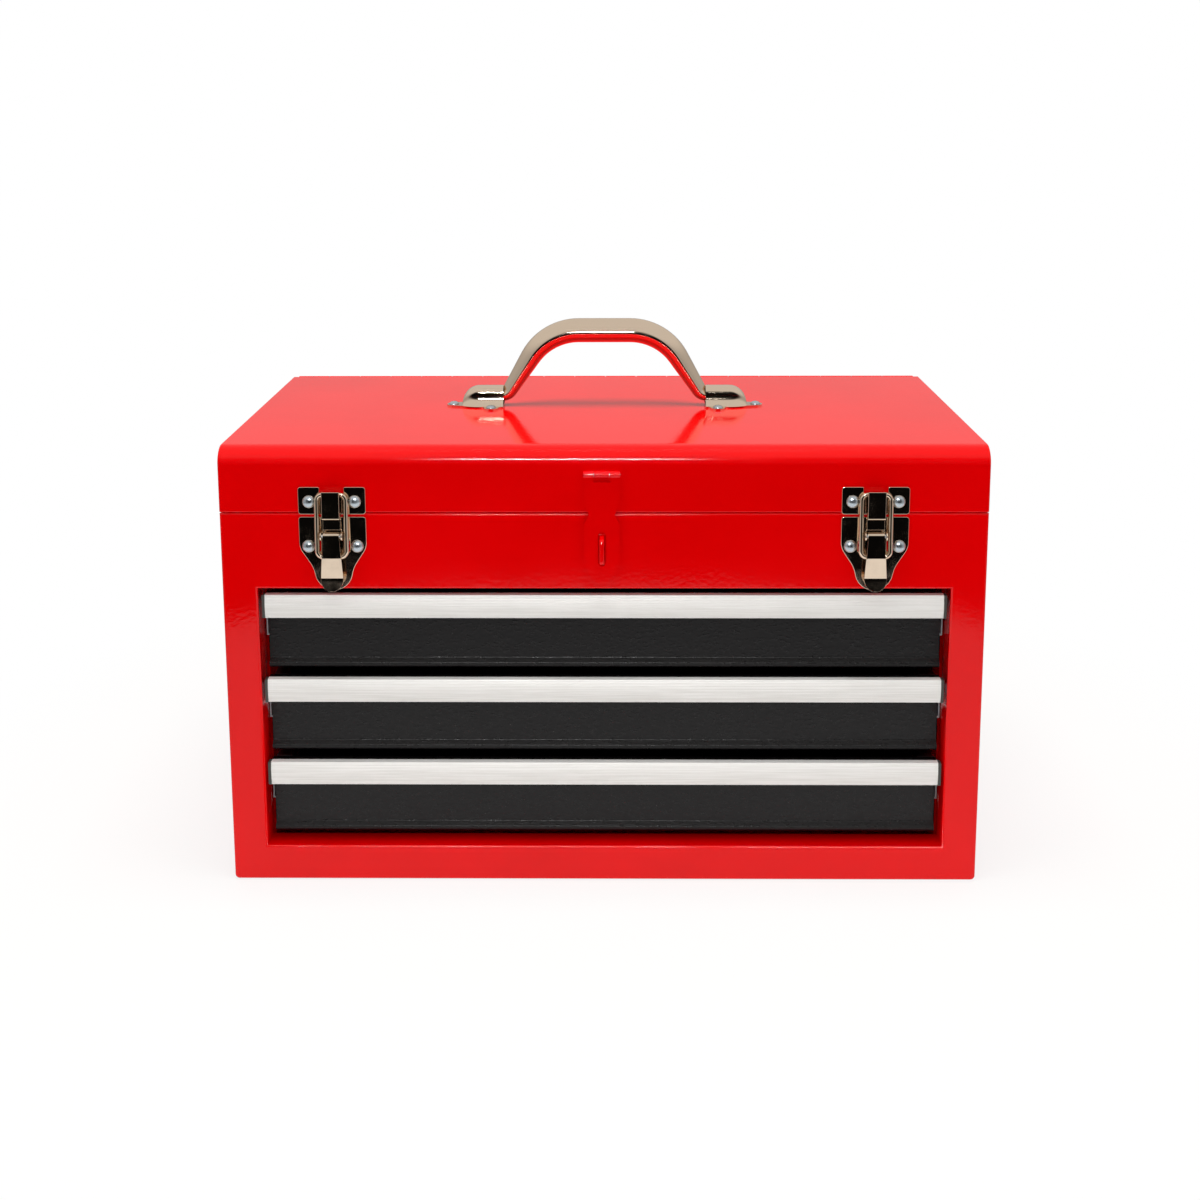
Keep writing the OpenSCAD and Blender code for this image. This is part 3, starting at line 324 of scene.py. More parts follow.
# %% Black wrinkle powder coat
black_coat, tree, place, shader = start_material(
    "Black wrinkle powder coat", {"Base Color": linear("#100e0f"), "IOR": 1.5, "Specular IOR Level": 0.3}
)
stretch = add_node(tree, "ShaderNodeMapping", {"Scale": (0.45, 1.0, 1.0)}, {"Vector": place})
ridges = add_node(
    tree,
    "ShaderNodeTexNoise",
    {"Scale": per_mm(1.6), "Detail": 2.0, "Distortion": 0.8},
    {"Vector": stretch.outputs[0]},
)
matt_tops = add_node(
    tree,
    "ShaderNodeMapRange",
    {"From Min": 0.35, "From Max": 0.65, "To Min": 0.42, "To Max": 0.26},
    {"Value": ridges.outputs[0]},
)
tree.links.new(matt_tops.outputs[0], shader.inputs["Roughness"])
wrinkle_bump = add_node(
    tree,
    "ShaderNodeBump",
    {"Strength": 1.0, "Distance": 0.22 * MM},
    {"Height": ridges.outputs[0]},
)
tree.links.new(wrinkle_bump.outputs[0], shader.inputs["Normal"])
print(black_coat.name, "has", len(tree.nodes), "nodes")

# %% [markdown]
# **Nickel plate.** Bright nickel over pressed steel is a warm, nearly perfect mirror. The
# pressing leaves a faint waviness, and handling leaves soft patches that are less bright.

# %% Bright nickel plate
nickel, tree, place, shader = start_material(
    "Bright nickel plate", {"Base Color": linear("#e0ccb6"), "Metallic": 1.0}
)
patches = add_node(tree, "ShaderNodeTexNoise", {"Scale": per_mm(9), "Detail": 4.0}, {"Vector": place})
polish = add_node(
    tree,
    "ShaderNodeMapRange",
    {"From Min": 0.35, "From Max": 0.7, "To Min": 0.06, "To Max": 0.14},
    {"Value": patches.outputs[0]},
)
tree.links.new(polish.outputs[0], shader.inputs["Roughness"])
waves = add_node(tree, "ShaderNodeTexNoise", {"Scale": per_mm(5), "Detail": 1.0}, {"Vector": place})
wave_bump = add_node(
    tree,
    "ShaderNodeBump",
    {"Strength": 0.35, "Distance": 0.05 * MM},
    {"Height": waves.outputs[0]},
)
tree.links.new(wave_bump.outputs[0], shader.inputs["Normal"])
print(nickel.name, "has", len(tree.nodes), "nodes")

# %% [markdown]
# **Zinc plate** on rivets, screws, hinge and slides is cooler and duller than nickel, with a
# crystalline mottle a few millimetres across.

# %% Zinc plate
def zinc_finish(name, colour, low, high, mottle_mm):
    material, tree, place, shader = start_material(
        name, {"Base Color": linear(colour), "Metallic": 1.0}
    )
    mottle = add_node(
        tree,
        "ShaderNodeTexNoise",
        {"Scale": per_mm(mottle_mm), "Detail": 5.0},
        {"Vector": place},
    )
    dullness = add_node(
        tree,
        "ShaderNodeMapRange",
        {"From Min": 0.3, "From Max": 0.7, "To Min": low, "To Max": high},
        {"Value": mottle.outputs[0]},
    )
    tree.links.new(dullness.outputs[0], shader.inputs["Roughness"])
    grain = add_node(
        tree,
        "ShaderNodeBump",
        {"Strength": 0.3, "Distance": 0.03 * MM},
        {"Height": mottle.outputs[0]},
    )
    tree.links.new(grain.outputs[0], shader.inputs["Normal"])
    return material


zinc = zinc_finish("Bright zinc plate", "#bcc6cd", 0.22, 0.34, 1.5)
slide_steel = zinc_finish("Zinc-plated strip steel", "#c3c7ca", 0.3, 0.45, 4)
pin_steel = zinc_finish("Drawn steel wire", "#b4b6b8", 0.25, 0.35, 1)
ball_steel = zinc_finish("Polished ball steel", "#d8d8d8", 0.05, 0.09, 2)
print("metals:", zinc.name, slide_steel.name, pin_steel.name, ball_steel.name)

# %% [markdown]
# **Satin aluminium.** The pull strips are extruded with fine ribs, blasted and clear
# anodised. The surface scatters light almost like white paint, with a faint drag along the
# strip from the extrusion die.

# %% Satin anodised aluminium
aluminium, tree, place, shader = start_material(
    "Satin anodised aluminium", {"Metallic": 0.15}
)
drag = add_node(tree, "ShaderNodeMapping", {"Scale": (0.02, 1.0, 1.0)}, {"Vector": place})
die_lines = add_node(
    tree,
    "ShaderNodeTexNoise",
    {"Scale": per_mm(0.8), "Detail": 2.0},
    {"Vector": drag.outputs[0]},
)
silver = add_node(tree, "ShaderNodeValToRGB", links={"Fac": die_lines.outputs[0]})
silver.color_ramp.elements[0].position = 0.35
silver.color_ramp.elements[0].color = linear("#e9e8e5")
silver.color_ramp.elements[1].position = 0.65
silver.color_ramp.elements[1].color = linear("#f3f2f0")
tree.links.new(silver.outputs[0], shader.inputs["Base Color"])
satin = add_node(
    tree,
    "ShaderNodeMapRange",
    {"From Min": 0.3, "From Max": 0.7, "To Min": 0.38, "To Max": 0.5},
    {"Value": die_lines.outputs[0]},
)
tree.links.new(satin.outputs[0], shader.inputs["Roughness"])
print(aluminium.name, "has", len(tree.nodes), "nodes")

# %% [markdown]
# **Moulded plastic** for the end caps: dark grey, matt, with the fine spark-erosion grain of
# the mould.

# %% Grey moulded plastic
cap_plastic, tree, place, shader = start_material(
    "Grey moulded polypropylene", {"Base Color": linear("#3f3e3b"), "IOR": 1.49}
)
mould = add_node(tree, "ShaderNodeTexNoise", {"Scale": per_mm(0.7), "Detail": 2.0}, {"Vector": place})
grain = add_node(
    tree,
    "ShaderNodeMapRange",
    {"To Min": 0.42, "To Max": 0.6},
    {"Value": mould.outputs[0]},
)
tree.links.new(grain.outputs[0], shader.inputs["Roughness"])
mould_bump = add_node(
    tree,
    "ShaderNodeBump",
    {"Strength": 0.4, "Distance": 0.03 * MM},
    {"Height": mould.outputs[0]},
)
tree.links.new(mould_bump.outputs[0], shader.inputs["Normal"])

FINISH = {
    "red_paint": red_coat,
    "black_paint": black_coat,
    "nickel_plate": nickel,
    "zinc_plate": zinc,
    "pin_steel": pin_steel,
    "slide_steel": slide_steel,
    "ball_steel": ball_steel,
    "aluminium_strip": aluminium,
    "cap_plastic": cap_plastic,
}
print("finishes:", len(FINISH))

# %% [markdown]
# ## What each node is made of
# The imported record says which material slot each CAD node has. Every node gets its finish
# from there, also those that a finer piece replaces further down.

# %% Give every CAD node its finish
slot_of = {part["node"]: part["material_slot"] for part in frame["record"]["subparts"]}
body_of = {node: body for body, group in frame["record"]["behaviour"]["bodies"].items() for node in group}
for name, thing in nodes.items():
    thing.data.materials.clear()
    thing.data.materials.append(FINISH[slot_of[name]])
print("nodes with a finish:", len(slot_of))


# %% [markdown]
# ## From bmesh to a piece
# Pieces are drawn in millimetres and turned to metres at the end. Curved parts are shaded
# smooth and real corners stay sharp. A narrow bevel then rounds the corners, and weighted
# normals keep the flat parts of pressed and folded sheet flat beside it, as mirrors need.

# %% Finish a piece
def finish_piece(bm, name, stands_for, bevel=0.0, segments=2, scale=MM, corner=30, sheet=0.0):
    """A new object from a bmesh, in place of the CAD nodes that it stands for."""
    bmesh.ops.scale(bm, vec=(scale, scale, scale), verts=bm.verts)
    mesh = bpy.data.meshes.new(name)
    bm.to_mesh(mesh)
    bm.free()
    mesh.shade_smooth()
    mesh.set_sharp_from_angle(angle=math.radians(corner))
    thing = bpy.data.objects.new(name, mesh)
    bpy.context.scene.collection.objects.link(thing)
    first = stands_for[0]
    mesh.materials.append(FINISH[slot_of[first]])
    if sheet:
        wall = thing.modifiers.new("sheet", "SOLIDIFY")
        wall.thickness = sheet * MM
        wall.offset = -1
        wall.use_even_offset = True
    if bevel:
        edge = thing.modifiers.new("edges", "BEVEL")
        edge.width = bevel * MM
        edge.segments = segments
        edge.limit_method = "ANGLE"
        edge.angle_limit = math.radians(corner)
        edge.use_clamp_overlap = True
    if bevel or sheet:
        flat = thing.modifiers.new("flats", "WEIGHTED_NORMAL")
        flat.keep_sharp = False
    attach(thing, body_of[first])
    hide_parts(*stands_for)
    return thing


def softened(node, bevel, segments=2, corner=30):
    """A CAD node again, merged, with its edges rounded when a bevel width is given."""
    bm = bmesh.new()
    bm.from_mesh(nodes[node].data)
    bmesh.ops.remove_doubles(bm, verts=bm.verts, dist=0.002 * MM)
    bmesh.ops.dissolve_limit(bm, angle_limit=math.radians(0.6), verts=bm.verts, edges=bm.edges)
    return finish_piece(bm, node + "_soft", [node], bevel, segments, 1.0, corner)


def near(value, target, room=0.01):
    return abs(value - target) < room


print("helpers ready")

# %% [markdown]
# ## Case
# The case is one folded sheet: sides, bottom and a front frame around the drawers. It starts
# as a block of the outside size. Bevels make the folds, knife cuts mark out the drawer
# opening, the open sides are removed, and the rims and returns are drawn inwards from the
# open edges. A Solidify modifier gives the sheet its thickness.

# %% Case: the folded block
CASE_X, FRONT_Y, BACK_Y, SEAM_Z = 254.0, -125.0, 125.0, 260.0
OPEN_X, OPEN_LOW, OPEN_HIGH = 230.5, 24.5, 208.0
SHEET = 1.2
bm = bmesh.new()
bmesh.ops.create_cube(bm, size=1.0)
bmesh.ops.scale(bm, vec=(2 * CASE_X, BACK_Y - SHEET - FRONT_Y, SEAM_Z), verts=bm.verts)
bmesh.ops.translate(bm, vec=(0, (BACK_Y - SHEET + FRONT_Y) / 2, SEAM_Z / 2), verts=bm.verts)


def round_edges(bm, chosen, radius, segments):
    """Rounds the edges for which chosen(a, b) is true of their two ends."""
    edges = [e for e in bm.edges if chosen(e.verts[0].co, e.verts[1].co)]
    bmesh.ops.bevel(
        bm,
        geom=edges,
        offset=radius,
        segments=segments,
        profile=0.5,
        affect="EDGES",
        material=-1,
        clamp_overlap=True,
    )
    return len(edges)


round_edges(bm, lambda a, b: near(a.z, 0) and near(b.z, 0) and near(a.x, b.x), 3.0, 5)
round_edges(bm, lambda a, b: near(a.y, FRONT_Y) and near(b.y, FRONT_Y), 1.7, 4)
for place, normal in (
    ((-OPEN_X, 0, 0), (1, 0, 0)),
    ((OPEN_X, 0, 0), (1, 0, 0)),
    ((0, 0, OPEN_LOW), (0, 0, 1)),
    ((0, 0, OPEN_HIGH), (0, 0, 1)),
):
    bmesh.ops.bisect_plane(
        bm,
        geom=bm.verts[:] + bm.edges[:] + bm.faces[:],
        dist=0.0001,
        plane_co=place,
        plane_no=normal,
    )
print("faces after the cuts:", len(bm.faces))


# %% Case: openings, rims and returns
def open_side(bm, chosen):
    """Removes the faces whose middle is chosen."""
    faces = [f for f in bm.faces if chosen(f.calc_center_median(), f.normal)]
    bmesh.ops.delete(bm, geom=faces, context="FACES")
    return len(faces)


def draw_rim(bm, chosen, move):
    """Extrudes the chosen open edges, then moves each new point."""
    edges = [e for e in bm.edges if e.is_boundary and chosen(e.verts[0].co, e.verts[1].co)]
    grown = bmesh.ops.extrude_edge_only(bm, edges=edges)["geom"]
    for v in grown:
        if isinstance(v, bmesh.types.BMVert):
            v.co = move(v.co)
    bmesh.ops.remove_doubles(bm, verts=bm.verts, dist=0.002)
    return len(edges)


bm.normal_update()
open_side(bm, lambda m, n: near(m.y, FRONT_Y) and abs(m.x) < OPEN_X and OPEN_LOW < m.z < OPEN_HIGH)
draw_rim(
    bm,
    lambda a, b: near(a.y, FRONT_Y) and near(b.y, FRONT_Y),
    lambda p: Vector((p.x, p.y + 18.0, p.z)),
)
open_side(bm, lambda m, n: near(m.z, SEAM_Z) and n.z > 0.9)
open_side(bm, lambda m, n: near(m.y, BACK_Y - SHEET) and n.y > 0.9)
draw_rim(
    bm,
    lambda a, b: near(a.z, SEAM_Z) and near(b.z, SEAM_Z),
    lambda p: Vector((max(-242.8, min(242.8, p.x)), max(p.y, FRONT_Y + 10), p.z)),
)
draw_rim(
    bm,
    lambda a, b: near(a.y, BACK_Y - SHEET) and near(b.y, BACK_Y - SHEET) and a.z + b.z < 515,
    lambda p: Vector((max(-242.8, min(242.8, p.x)), p.y, max(p.z, 11.2))),
)
in_opening = lambda p: abs(p.x) < OPEN_X + 0.01 and OPEN_LOW - 0.01 < p.z < OPEN_HIGH + 0.01
round_edges(
    bm,
    lambda a, b: near(a.y, FRONT_Y) and near(b.y, FRONT_Y) and in_opening(a) and in_opening(b),
    1.5,
    4,
)
round_edges(
    bm,
    lambda a, b: near(a.z, SEAM_Z) and near(b.z, SEAM_Z) and near(abs(a.x), CASE_X) and near(a.x, b.x),
    1.2,
    3,
)
bmesh.ops.recalc_face_normals(bm, faces=bm.faces)
case = finish_piece(bm, "case_folded_sheet", ["case_shell"], sheet=SHEET)
print("case faces:", len(case.data.polygons))

# %% [markdown]
# ## Lid
# The lid's top and front are one sheet, rolled to a soft 12 mm bend along the front edge. Its
# ends are folded down with a tight radius. The lower edge is hemmed inwards, which makes the
# seam a crisp dark line.

# %% Lid
LID_Z, LID_TOP, LID_BACK = 260.4, 304.3, 118.6
bm = bmesh.new()
bmesh.ops.create_cube(bm, size=1.0)
bmesh.ops.scale(bm, vec=(2 * CASE_X, LID_BACK - FRONT_Y, LID_TOP - LID_Z), verts=bm.verts)
bmesh.ops.translate(bm, vec=(0, (LID_BACK + FRONT_Y) / 2, (LID_TOP + LID_Z) / 2), verts=bm.verts)
round_edges(
    bm,
    lambda a, b: near(a.y, FRONT_Y) and near(b.y, FRONT_Y) and near(a.z, LID_TOP) and near(b.z, LID_TOP),
    12.0,
    16,
)
round_edges(
    bm,
    lambda a, b: near(abs(a.x), CASE_X)
    and near(a.x, b.x)
    and not (near(a.z, LID_Z) and near(b.z, LID_Z))
    and not (near(a.y, LID_BACK) and near(b.y, LID_BACK)),
    1.1,
    3,
)
bm.normal_update()
open_side(bm, lambda m, n: near(m.z, LID_Z) and n.z < -0.9)
open_side(bm, lambda m, n: near(m.y, LID_BACK) and n.y > 0.9)
draw_rim(
    bm,
    lambda a, b: near(a.z, LID_Z) and near(b.z, LID_Z),
    lambda p: Vector((max(-245.8, min(245.8, p.x)), max(p.y, FRONT_Y + 7), p.z)),
)
round_edges(
    bm,
    lambda a, b: near(a.z, LID_Z)
    and near(b.z, LID_Z)
    and (abs(a.x) > 252.5 or a.y < FRONT_Y + 1.5)
    and (abs(b.x) > 252.5 or b.y < FRONT_Y + 1.5),
    0.9,
    3,
)
bmesh.ops.recalc_face_normals(bm, faces=bm.faces)
lid = finish_piece(bm, "lid_folded_sheet", ["lid_shell"], sheet=SHEET)
print("lid faces:", len(lid.data.polygons))

# %% [markdown]
# ## Drawer fronts
# A drawer front is a strip folded four times: a flange on top for the pull, a small step out
# near the foot, and a turn back under the tray. On the real fronts the step catches the light
# twice, in its hollow and on its crest. The strip is drawn as one line seen from the side,
# pulled out to its width, and each fold line gets its own radius.


# %% A folded strip
def folded_strip(points, radii, half_width):
    """points are (y, z) along the outer side of the sheet, radii one for each inner point."""
    bm = bmesh.new()
    line = [bm.verts.new((half_width, y, z)) for y, z in points]
    edges = [bm.edges.new(pair) for pair in zip(line, line[1:])]
    bmesh.ops.extrude_edge_only(bm, edges=edges)
    for v in bm.verts:
        if v not in line:
            v.co.x = -half_width
    bm.normal_update()
    for (y, z), radius, before, after in zip(points[1:-1], radii, points, points[2:]):
        turn = (Vector((y, z)) - Vector(before)).angle(Vector(after) - Vector((y, z)))
        fold = lambda a, b: near(a.y, y) and near(a.z, z) and near(b.y, y) and near(b.z, z)
        round_edges(bm, fold, radius * math.tan(turn / 2), 5)
    return bm


PITCH, DRAWER_H, TOP_GAP = 59.233, 53.533, 5.8
drawer_top = {i: OPEN_HIGH - TOP_GAP - (i - 1) * PITCH for i in (1, 2, 3)}
for i, top in drawer_top.items():
    low = top - DRAWER_H
    face = FRONT_Y + 13.5
    path = [
        (-122.0, top - 1),
        (face, top - 1),
        (face, low + 6.5),
        (face - 3, low + 3.5),
        (face - 3, low),
        (-98.5, low),
    ]
    bm = folded_strip(path, (0.8, 1.3, 1.1, 1.9), 227.0)
    side = [f for f in bm.faces if near(f.calc_center_median().y, face, 0.05)][0]
    if side.normal.y > 0:
        bmesh.ops.reverse_faces(bm, faces=bm.faces)
    front = finish_piece(bm, f"drawer_front_{i}_folded", [f"drawer_front_{i}"], sheet=1.0)
print("drawer front faces:", len(front.data.polygons))

# %% [markdown]
# ## Pull strips
# The strip is extruded aluminium: a slightly bowed face with fine ribs, a groove that grips
# the drawer's flange, and a lip for the fingers. Its section is drawn once as a flat face.
# The front edge is cut into ribs and bowed, and the face is then pulled along the strip.

# %% Ribbed pulls
STRIP_H, STRIP_T, STRIP_X, BOW_R, RIBS = 16.0, 1.8, 226.5, 45.0, 15
for i, top in drawer_top.items():
    face, high = FRONT_Y + 1.0, top + 0.9
    low = high - STRIP_H
    section = [
        (face + 0.75, high),
        (face + 0.75, low),
        (face + 4.4, low),
        (face + 4.4, low + 1.2),
        (face + STRIP_T + 0.8, low + 1.2),
        (face + STRIP_T, low + 2.2),
        (face + STRIP_T, high - 2.9),
        (face + 5.4, high - 2.9),
        (face + 5.4, high - 1.9),
        (face + STRIP_T, high - 1.9),
        (face + STRIP_T, high - 0.9),
        (face + 5.4, high - 0.9),
        (face + 5.4, high),
    ]
    bm = bmesh.new()
    corners = [bm.verts.new((-STRIP_X, y, z)) for y, z in section]
    bm.faces.new(corners)
    front_edge = [e for e in bm.edges if set(e.verts) == {corners[0], corners[1]}]
    bmesh.ops.subdivide_edges(bm, edges=front_edge, cuts=2 * RIBS - 1)
    for v in bm.verts:
        if near(v.co.y, face + 0.75):
            from_middle = v.co.z - (high + low) / 2
            step = round((high - v.co.z) / (STRIP_H / (2 * RIBS)))
            bow = BOW_R - math.sqrt(BOW_R**2 - from_middle**2)
            v.co.y = face + bow + (0.16 if step % 2 else 0.0)
    grown = bmesh.ops.extrude_face_region(bm, geom=bm.faces[:])["geom"]
    bmesh.ops.translate(
        bm, vec=(2 * STRIP_X, 0, 0), verts=[v for v in grown if isinstance(v, bmesh.types.BMVert)]
    )
    bmesh.ops.recalc_face_normals(bm, faces=bm.faces)
    pull = finish_piece(bm, f"drawer_pull_{i}_ribbed", [f"drawer_pull_{i}"], corner=12)
    softened(f"pull_caps_{i}", 0.35, 3)
print("pull faces:", len(pull.data.polygons))

# %% [markdown]
# ## Handle
# The grip is pressed from sheet into a bow that is thick in the middle and thins towards its
# feet. Its section is a rounded lozenge: a tall upper side that mirrors the sweep, an edge
# along the front that sits low, and a short under side that mirrors the red lid. One ring of
# points is extruded from station to station along the bow.

# %% Handle: stations along the bow
HANDLE_Y, PIVOT_Z, GRIP_Z = 8.0, LID_TOP + 8.3, LID_TOP + 56.3
FOOT_X, FOOT_R, BOW, LEG = 75.8, 7.0, 42.0, math.radians(58)
NECK, GRIP = 9.2, 18.0
foot_end = Vector((FOOT_X - FOOT_R * math.sin(LEG), PIVOT_Z + FOOT_R * (1 - math.cos(LEG))))
leg_top_z = GRIP_Z - BOW * (1 - math.cos(LEG))
leg_top = Vector((foot_end.x - (leg_top_z - foot_end.y) / math.tan(LEG), leg_top_z))
grip_x = leg_top.x - BOW * math.sin(LEG)

half = [(FOOT_X + 9, PIVOT_Z, 0.0), (FOOT_X + 3, PIVOT_Z, 0.0)]
for k in range(9):
    a = LEG * k / 8
    half.append((FOOT_X - FOOT_R * math.sin(a), PIVOT_Z + FOOT_R * (1 - math.cos(a)), a))
for k in range(1, 8):
    at = foot_end.lerp(leg_top, k / 8)
    half.append((at.x, at.y, LEG))
for k in range(15):
    a = LEG * (1 - k / 14)
    half.append((grip_x + BOW * math.sin(a), GRIP_Z - BOW * (1 - math.cos(a)), a))
half.append((grip_x / 2, GRIP_Z, 0.0))
stations = half + [(0.0, GRIP_Z, 0.0)] + [(-x, z, -a) for x, z, a in reversed(half)]
run = [0.0]
for (x0, z0, _), (x1, z1, _) in zip(stations, stations[1:]):
    run.append(run[-1] + math.hypot(x1 - x0, z1 - z0))
taper_run = run[len(half) - 2]
print("stations:", len(stations), "length of the bow:", round(run[-1], 1), "mm")


# %% Handle: one ring extruded from station to station
def lozenge(angle, roundness=1.45):
    """A point of the section at this angle from the top, for a section 1 high."""
    up, out = math.cos(angle), math.sin(angle)
    grow = (abs(up) ** roundness + abs(out) ** roundness) ** (-1 / roundness)
    return up * grow * (0.56 if up > 0 else 0.44) - 0.06, out * grow


RING = 40
bm = bmesh.new()
ring = bmesh.ops.create_circle(bm, cap_ends=True, radius=1.0, segments=RING)["verts"]
angles = [2 * math.pi * k / RING for k in range(RING)]


def set_ring(verts, station, along):
    x, z, lean = station
    share = min(1.0, min(along, run[-1] - along) / taper_run)
    height = NECK + (GRIP - NECK) * math.sin(share * math.pi / 2) ** 1.25
    for v, a in zip(verts, angles):
        up, out = lozenge(a)
        up, out = up * height, out * height * 0.52
        v.co = (x + up * math.sin(lean), HANDLE_Y + out, z + up * math.cos(lean))


set_ring(ring, stations[0], run[0])
edges = [e for e in bm.edges]
for station, along in zip(stations[1:], run[1:]):
    made = bmesh.ops.extrude_edge_only(bm, edges=edges)["geom"]
    edges = [g for g in made if isinstance(g, bmesh.types.BMEdge)]
    fresh = [g for g in made if isinstance(g, bmesh.types.BMVert)]
    # The new ring starts where the old one is, so nearest partners keep their order.
    fresh = [min(fresh, key=lambda n, o=o: (n.co - o.co).length) for o in ring]
    set_ring(fresh, station, along)
    ring = fresh
bmesh.ops.contextual_create(bm, geom=edges)
for side in (-1, 1):
    made = bmesh.ops.create_cone(
        bm, cap_ends=True, segments=40, radius1=5.9, radius2=5.9, depth=13.0
    )["verts"]
    bmesh.ops.rotate(bm, verts=made, cent=(0, 0, 0), matrix=Matrix.Rotation(math.pi / 2, 3, "Y"))
    bmesh.ops.translate(bm, verts=made, vec=(side * (76.4 + 6.5), HANDLE_Y, PIVOT_Z))
bmesh.ops.recalc_face_normals(bm, faces=bm.faces)
handle = finish_piece(bm, "handle_bow", ["handle"], corner=50)
print("handle faces:", len(handle.data.polygons))

# %% [markdown]
# ## Flat parts and turned parts
# Most of the hardware is punched from sheet. One function makes such a part as the press
# does: an outline with rounded corners, windows cut out of it, and then its thickness.
# Rivets and screws are turned: half a profile, spun round its axis.


# %% Punched plates and turned heads
def keep(bm, made):
    """Adds a finished bmesh to another one."""
    bmesh.ops.recalc_face_normals(made, faces=made.faces)
    spare = bpy.data.meshes.new("spare")
    made.to_mesh(spare)
    made.free()
    bm.from_mesh(spare)
    bpy.data.meshes.remove(spare)


def plate(bm, outline, low, high, axis, rounds=(), windows=()):
    """Adds a flat outline with a thickness from low to high along an axis: 0, 1 or 2."""
    first, second = [k for k in (0, 1, 2) if k != axis]

    def place(point):
        spot = list(point)
        spot.insert(axis, low)
        return Vector(spot)

    flat = bmesh.new()
    flat.faces.new([flat.verts.new(place(p)) for p in outline])
    for radius, corners in rounds:
        spots = [place(c) for c in corners]
        bmesh.ops.bevel(
            flat,
            geom=[v for v in flat.verts if any((v.co - s).length < 0.01 for s in spots)],
            offset=radius,
            segments=6,
            profile=0.5,
            affect="VERTICES",
            material=-1,
        )
    for a0, b0, a1, b1 in windows:
        for k, at in ((first, a0), (first, a1), (second, b0), (second, b1)):
            normal = Vector((0, 0, 0))
            normal[k] = 1
            bmesh.ops.bisect_plane(
                flat,
                geom=flat.verts[:] + flat.edges[:] + flat.faces[:],
                dist=0.0001,
                plane_co=normal * at,
                plane_no=normal,
            )
        middles = {f: f.calc_center_median() for f in flat.faces}
        gone = [f for f, m in middles.items() if a0 < m[first] < a1 and b0 < m[second] < b1]
        bmesh.ops.delete(flat, geom=gone, context="FACES")
    grown = bmesh.ops.extrude_face_region(flat, geom=flat.faces[:])["geom"]
    move = Vector((0, 0, 0))
    move[axis] = high - low
    bmesh.ops.translate(flat, vec=move, verts=[v for v in grown if isinstance(v, bmesh.types.BMVert)])
    keep(bm, flat)


def turned(bm, profile, place, axis, steps=24):
    """Adds half a profile of (radius, height) points, spun round an axis: -Y is 1, Z is 2."""
    part = bmesh.new()
    points = [part.verts.new((r, 0, h)) for r, h in profile]
    edges = [part.edges.new(pair) for pair in zip(points, points[1:])]
    bmesh.ops.spin(
        part,
        geom=points + edges,
        cent=(0, 0, 0),
        axis=(0, 0, 1),
        angle=2 * math.pi,
        steps=steps,
        use_merge=True,
    )
    bmesh.ops.remove_doubles(part, verts=part.verts, dist=0.001)
    if axis == 1:
        bmesh.ops.rotate(part, verts=part.verts, cent=(0, 0, 0), matrix=Matrix.Rotation(math.pi / 2, 3, "X"))
    bmesh.ops.translate(part, vec=place, verts=part.verts)
    keep(bm, part)


print("press and lathe ready")

# %% [markdown]
# ## Handle brackets
# Each bracket is pressed from one sheet: a half-round crown on upright sides that flare out at
# the foot, and a nose that runs down to the flange. The cross-section is a row of points that is
# extruded from station to station, and Solidify makes it sheet. The flange is punched, with
# round pads for the screws.

# %% Brackets: the arch and its stations
MOUTH, CUP_H, CROWN_R, FOOT_H = 74.5, 15.3, 6.4, 1.0
arch = [
    (CROWN_R * math.sin(math.radians(a)), CUP_H - CROWN_R * (1 - math.cos(math.radians(a))))
    for a in range(0, 91, 10)
]
arch += [(6.5, 7.6), (6.9, 6.0), (7.6, 4.5), (8.6, 3.1), (9.8, 1.9), (10.9, FOOT_H)]
arch = [(-across, up) for across, up in reversed(arch[1:])] + arch
cup_stations = [(MOUTH + x, 1.0, 1.0) for x in (0, 0.6, 6, 12, 18)]
for k in range(1, 9):
    t = math.sin(math.radians(90 * k / 8))
    cup_stations.append((MOUTH + 18 + 12.6 * t, math.sqrt(max(0.0, 1 - t * t)), 1 - 0.38 * t**2))
print("cup stations:", len(cup_stations), "points across:", len(arch))


# %% Brackets: the cup and its flange
def set_arch(verts, station):
    x, tall, wide = station
    for v, (across, up) in zip(verts, arch):
        v.co = (x, HANDLE_Y + across * wide, LID_TOP + FOOT_H + (up - FOOT_H) * tall)


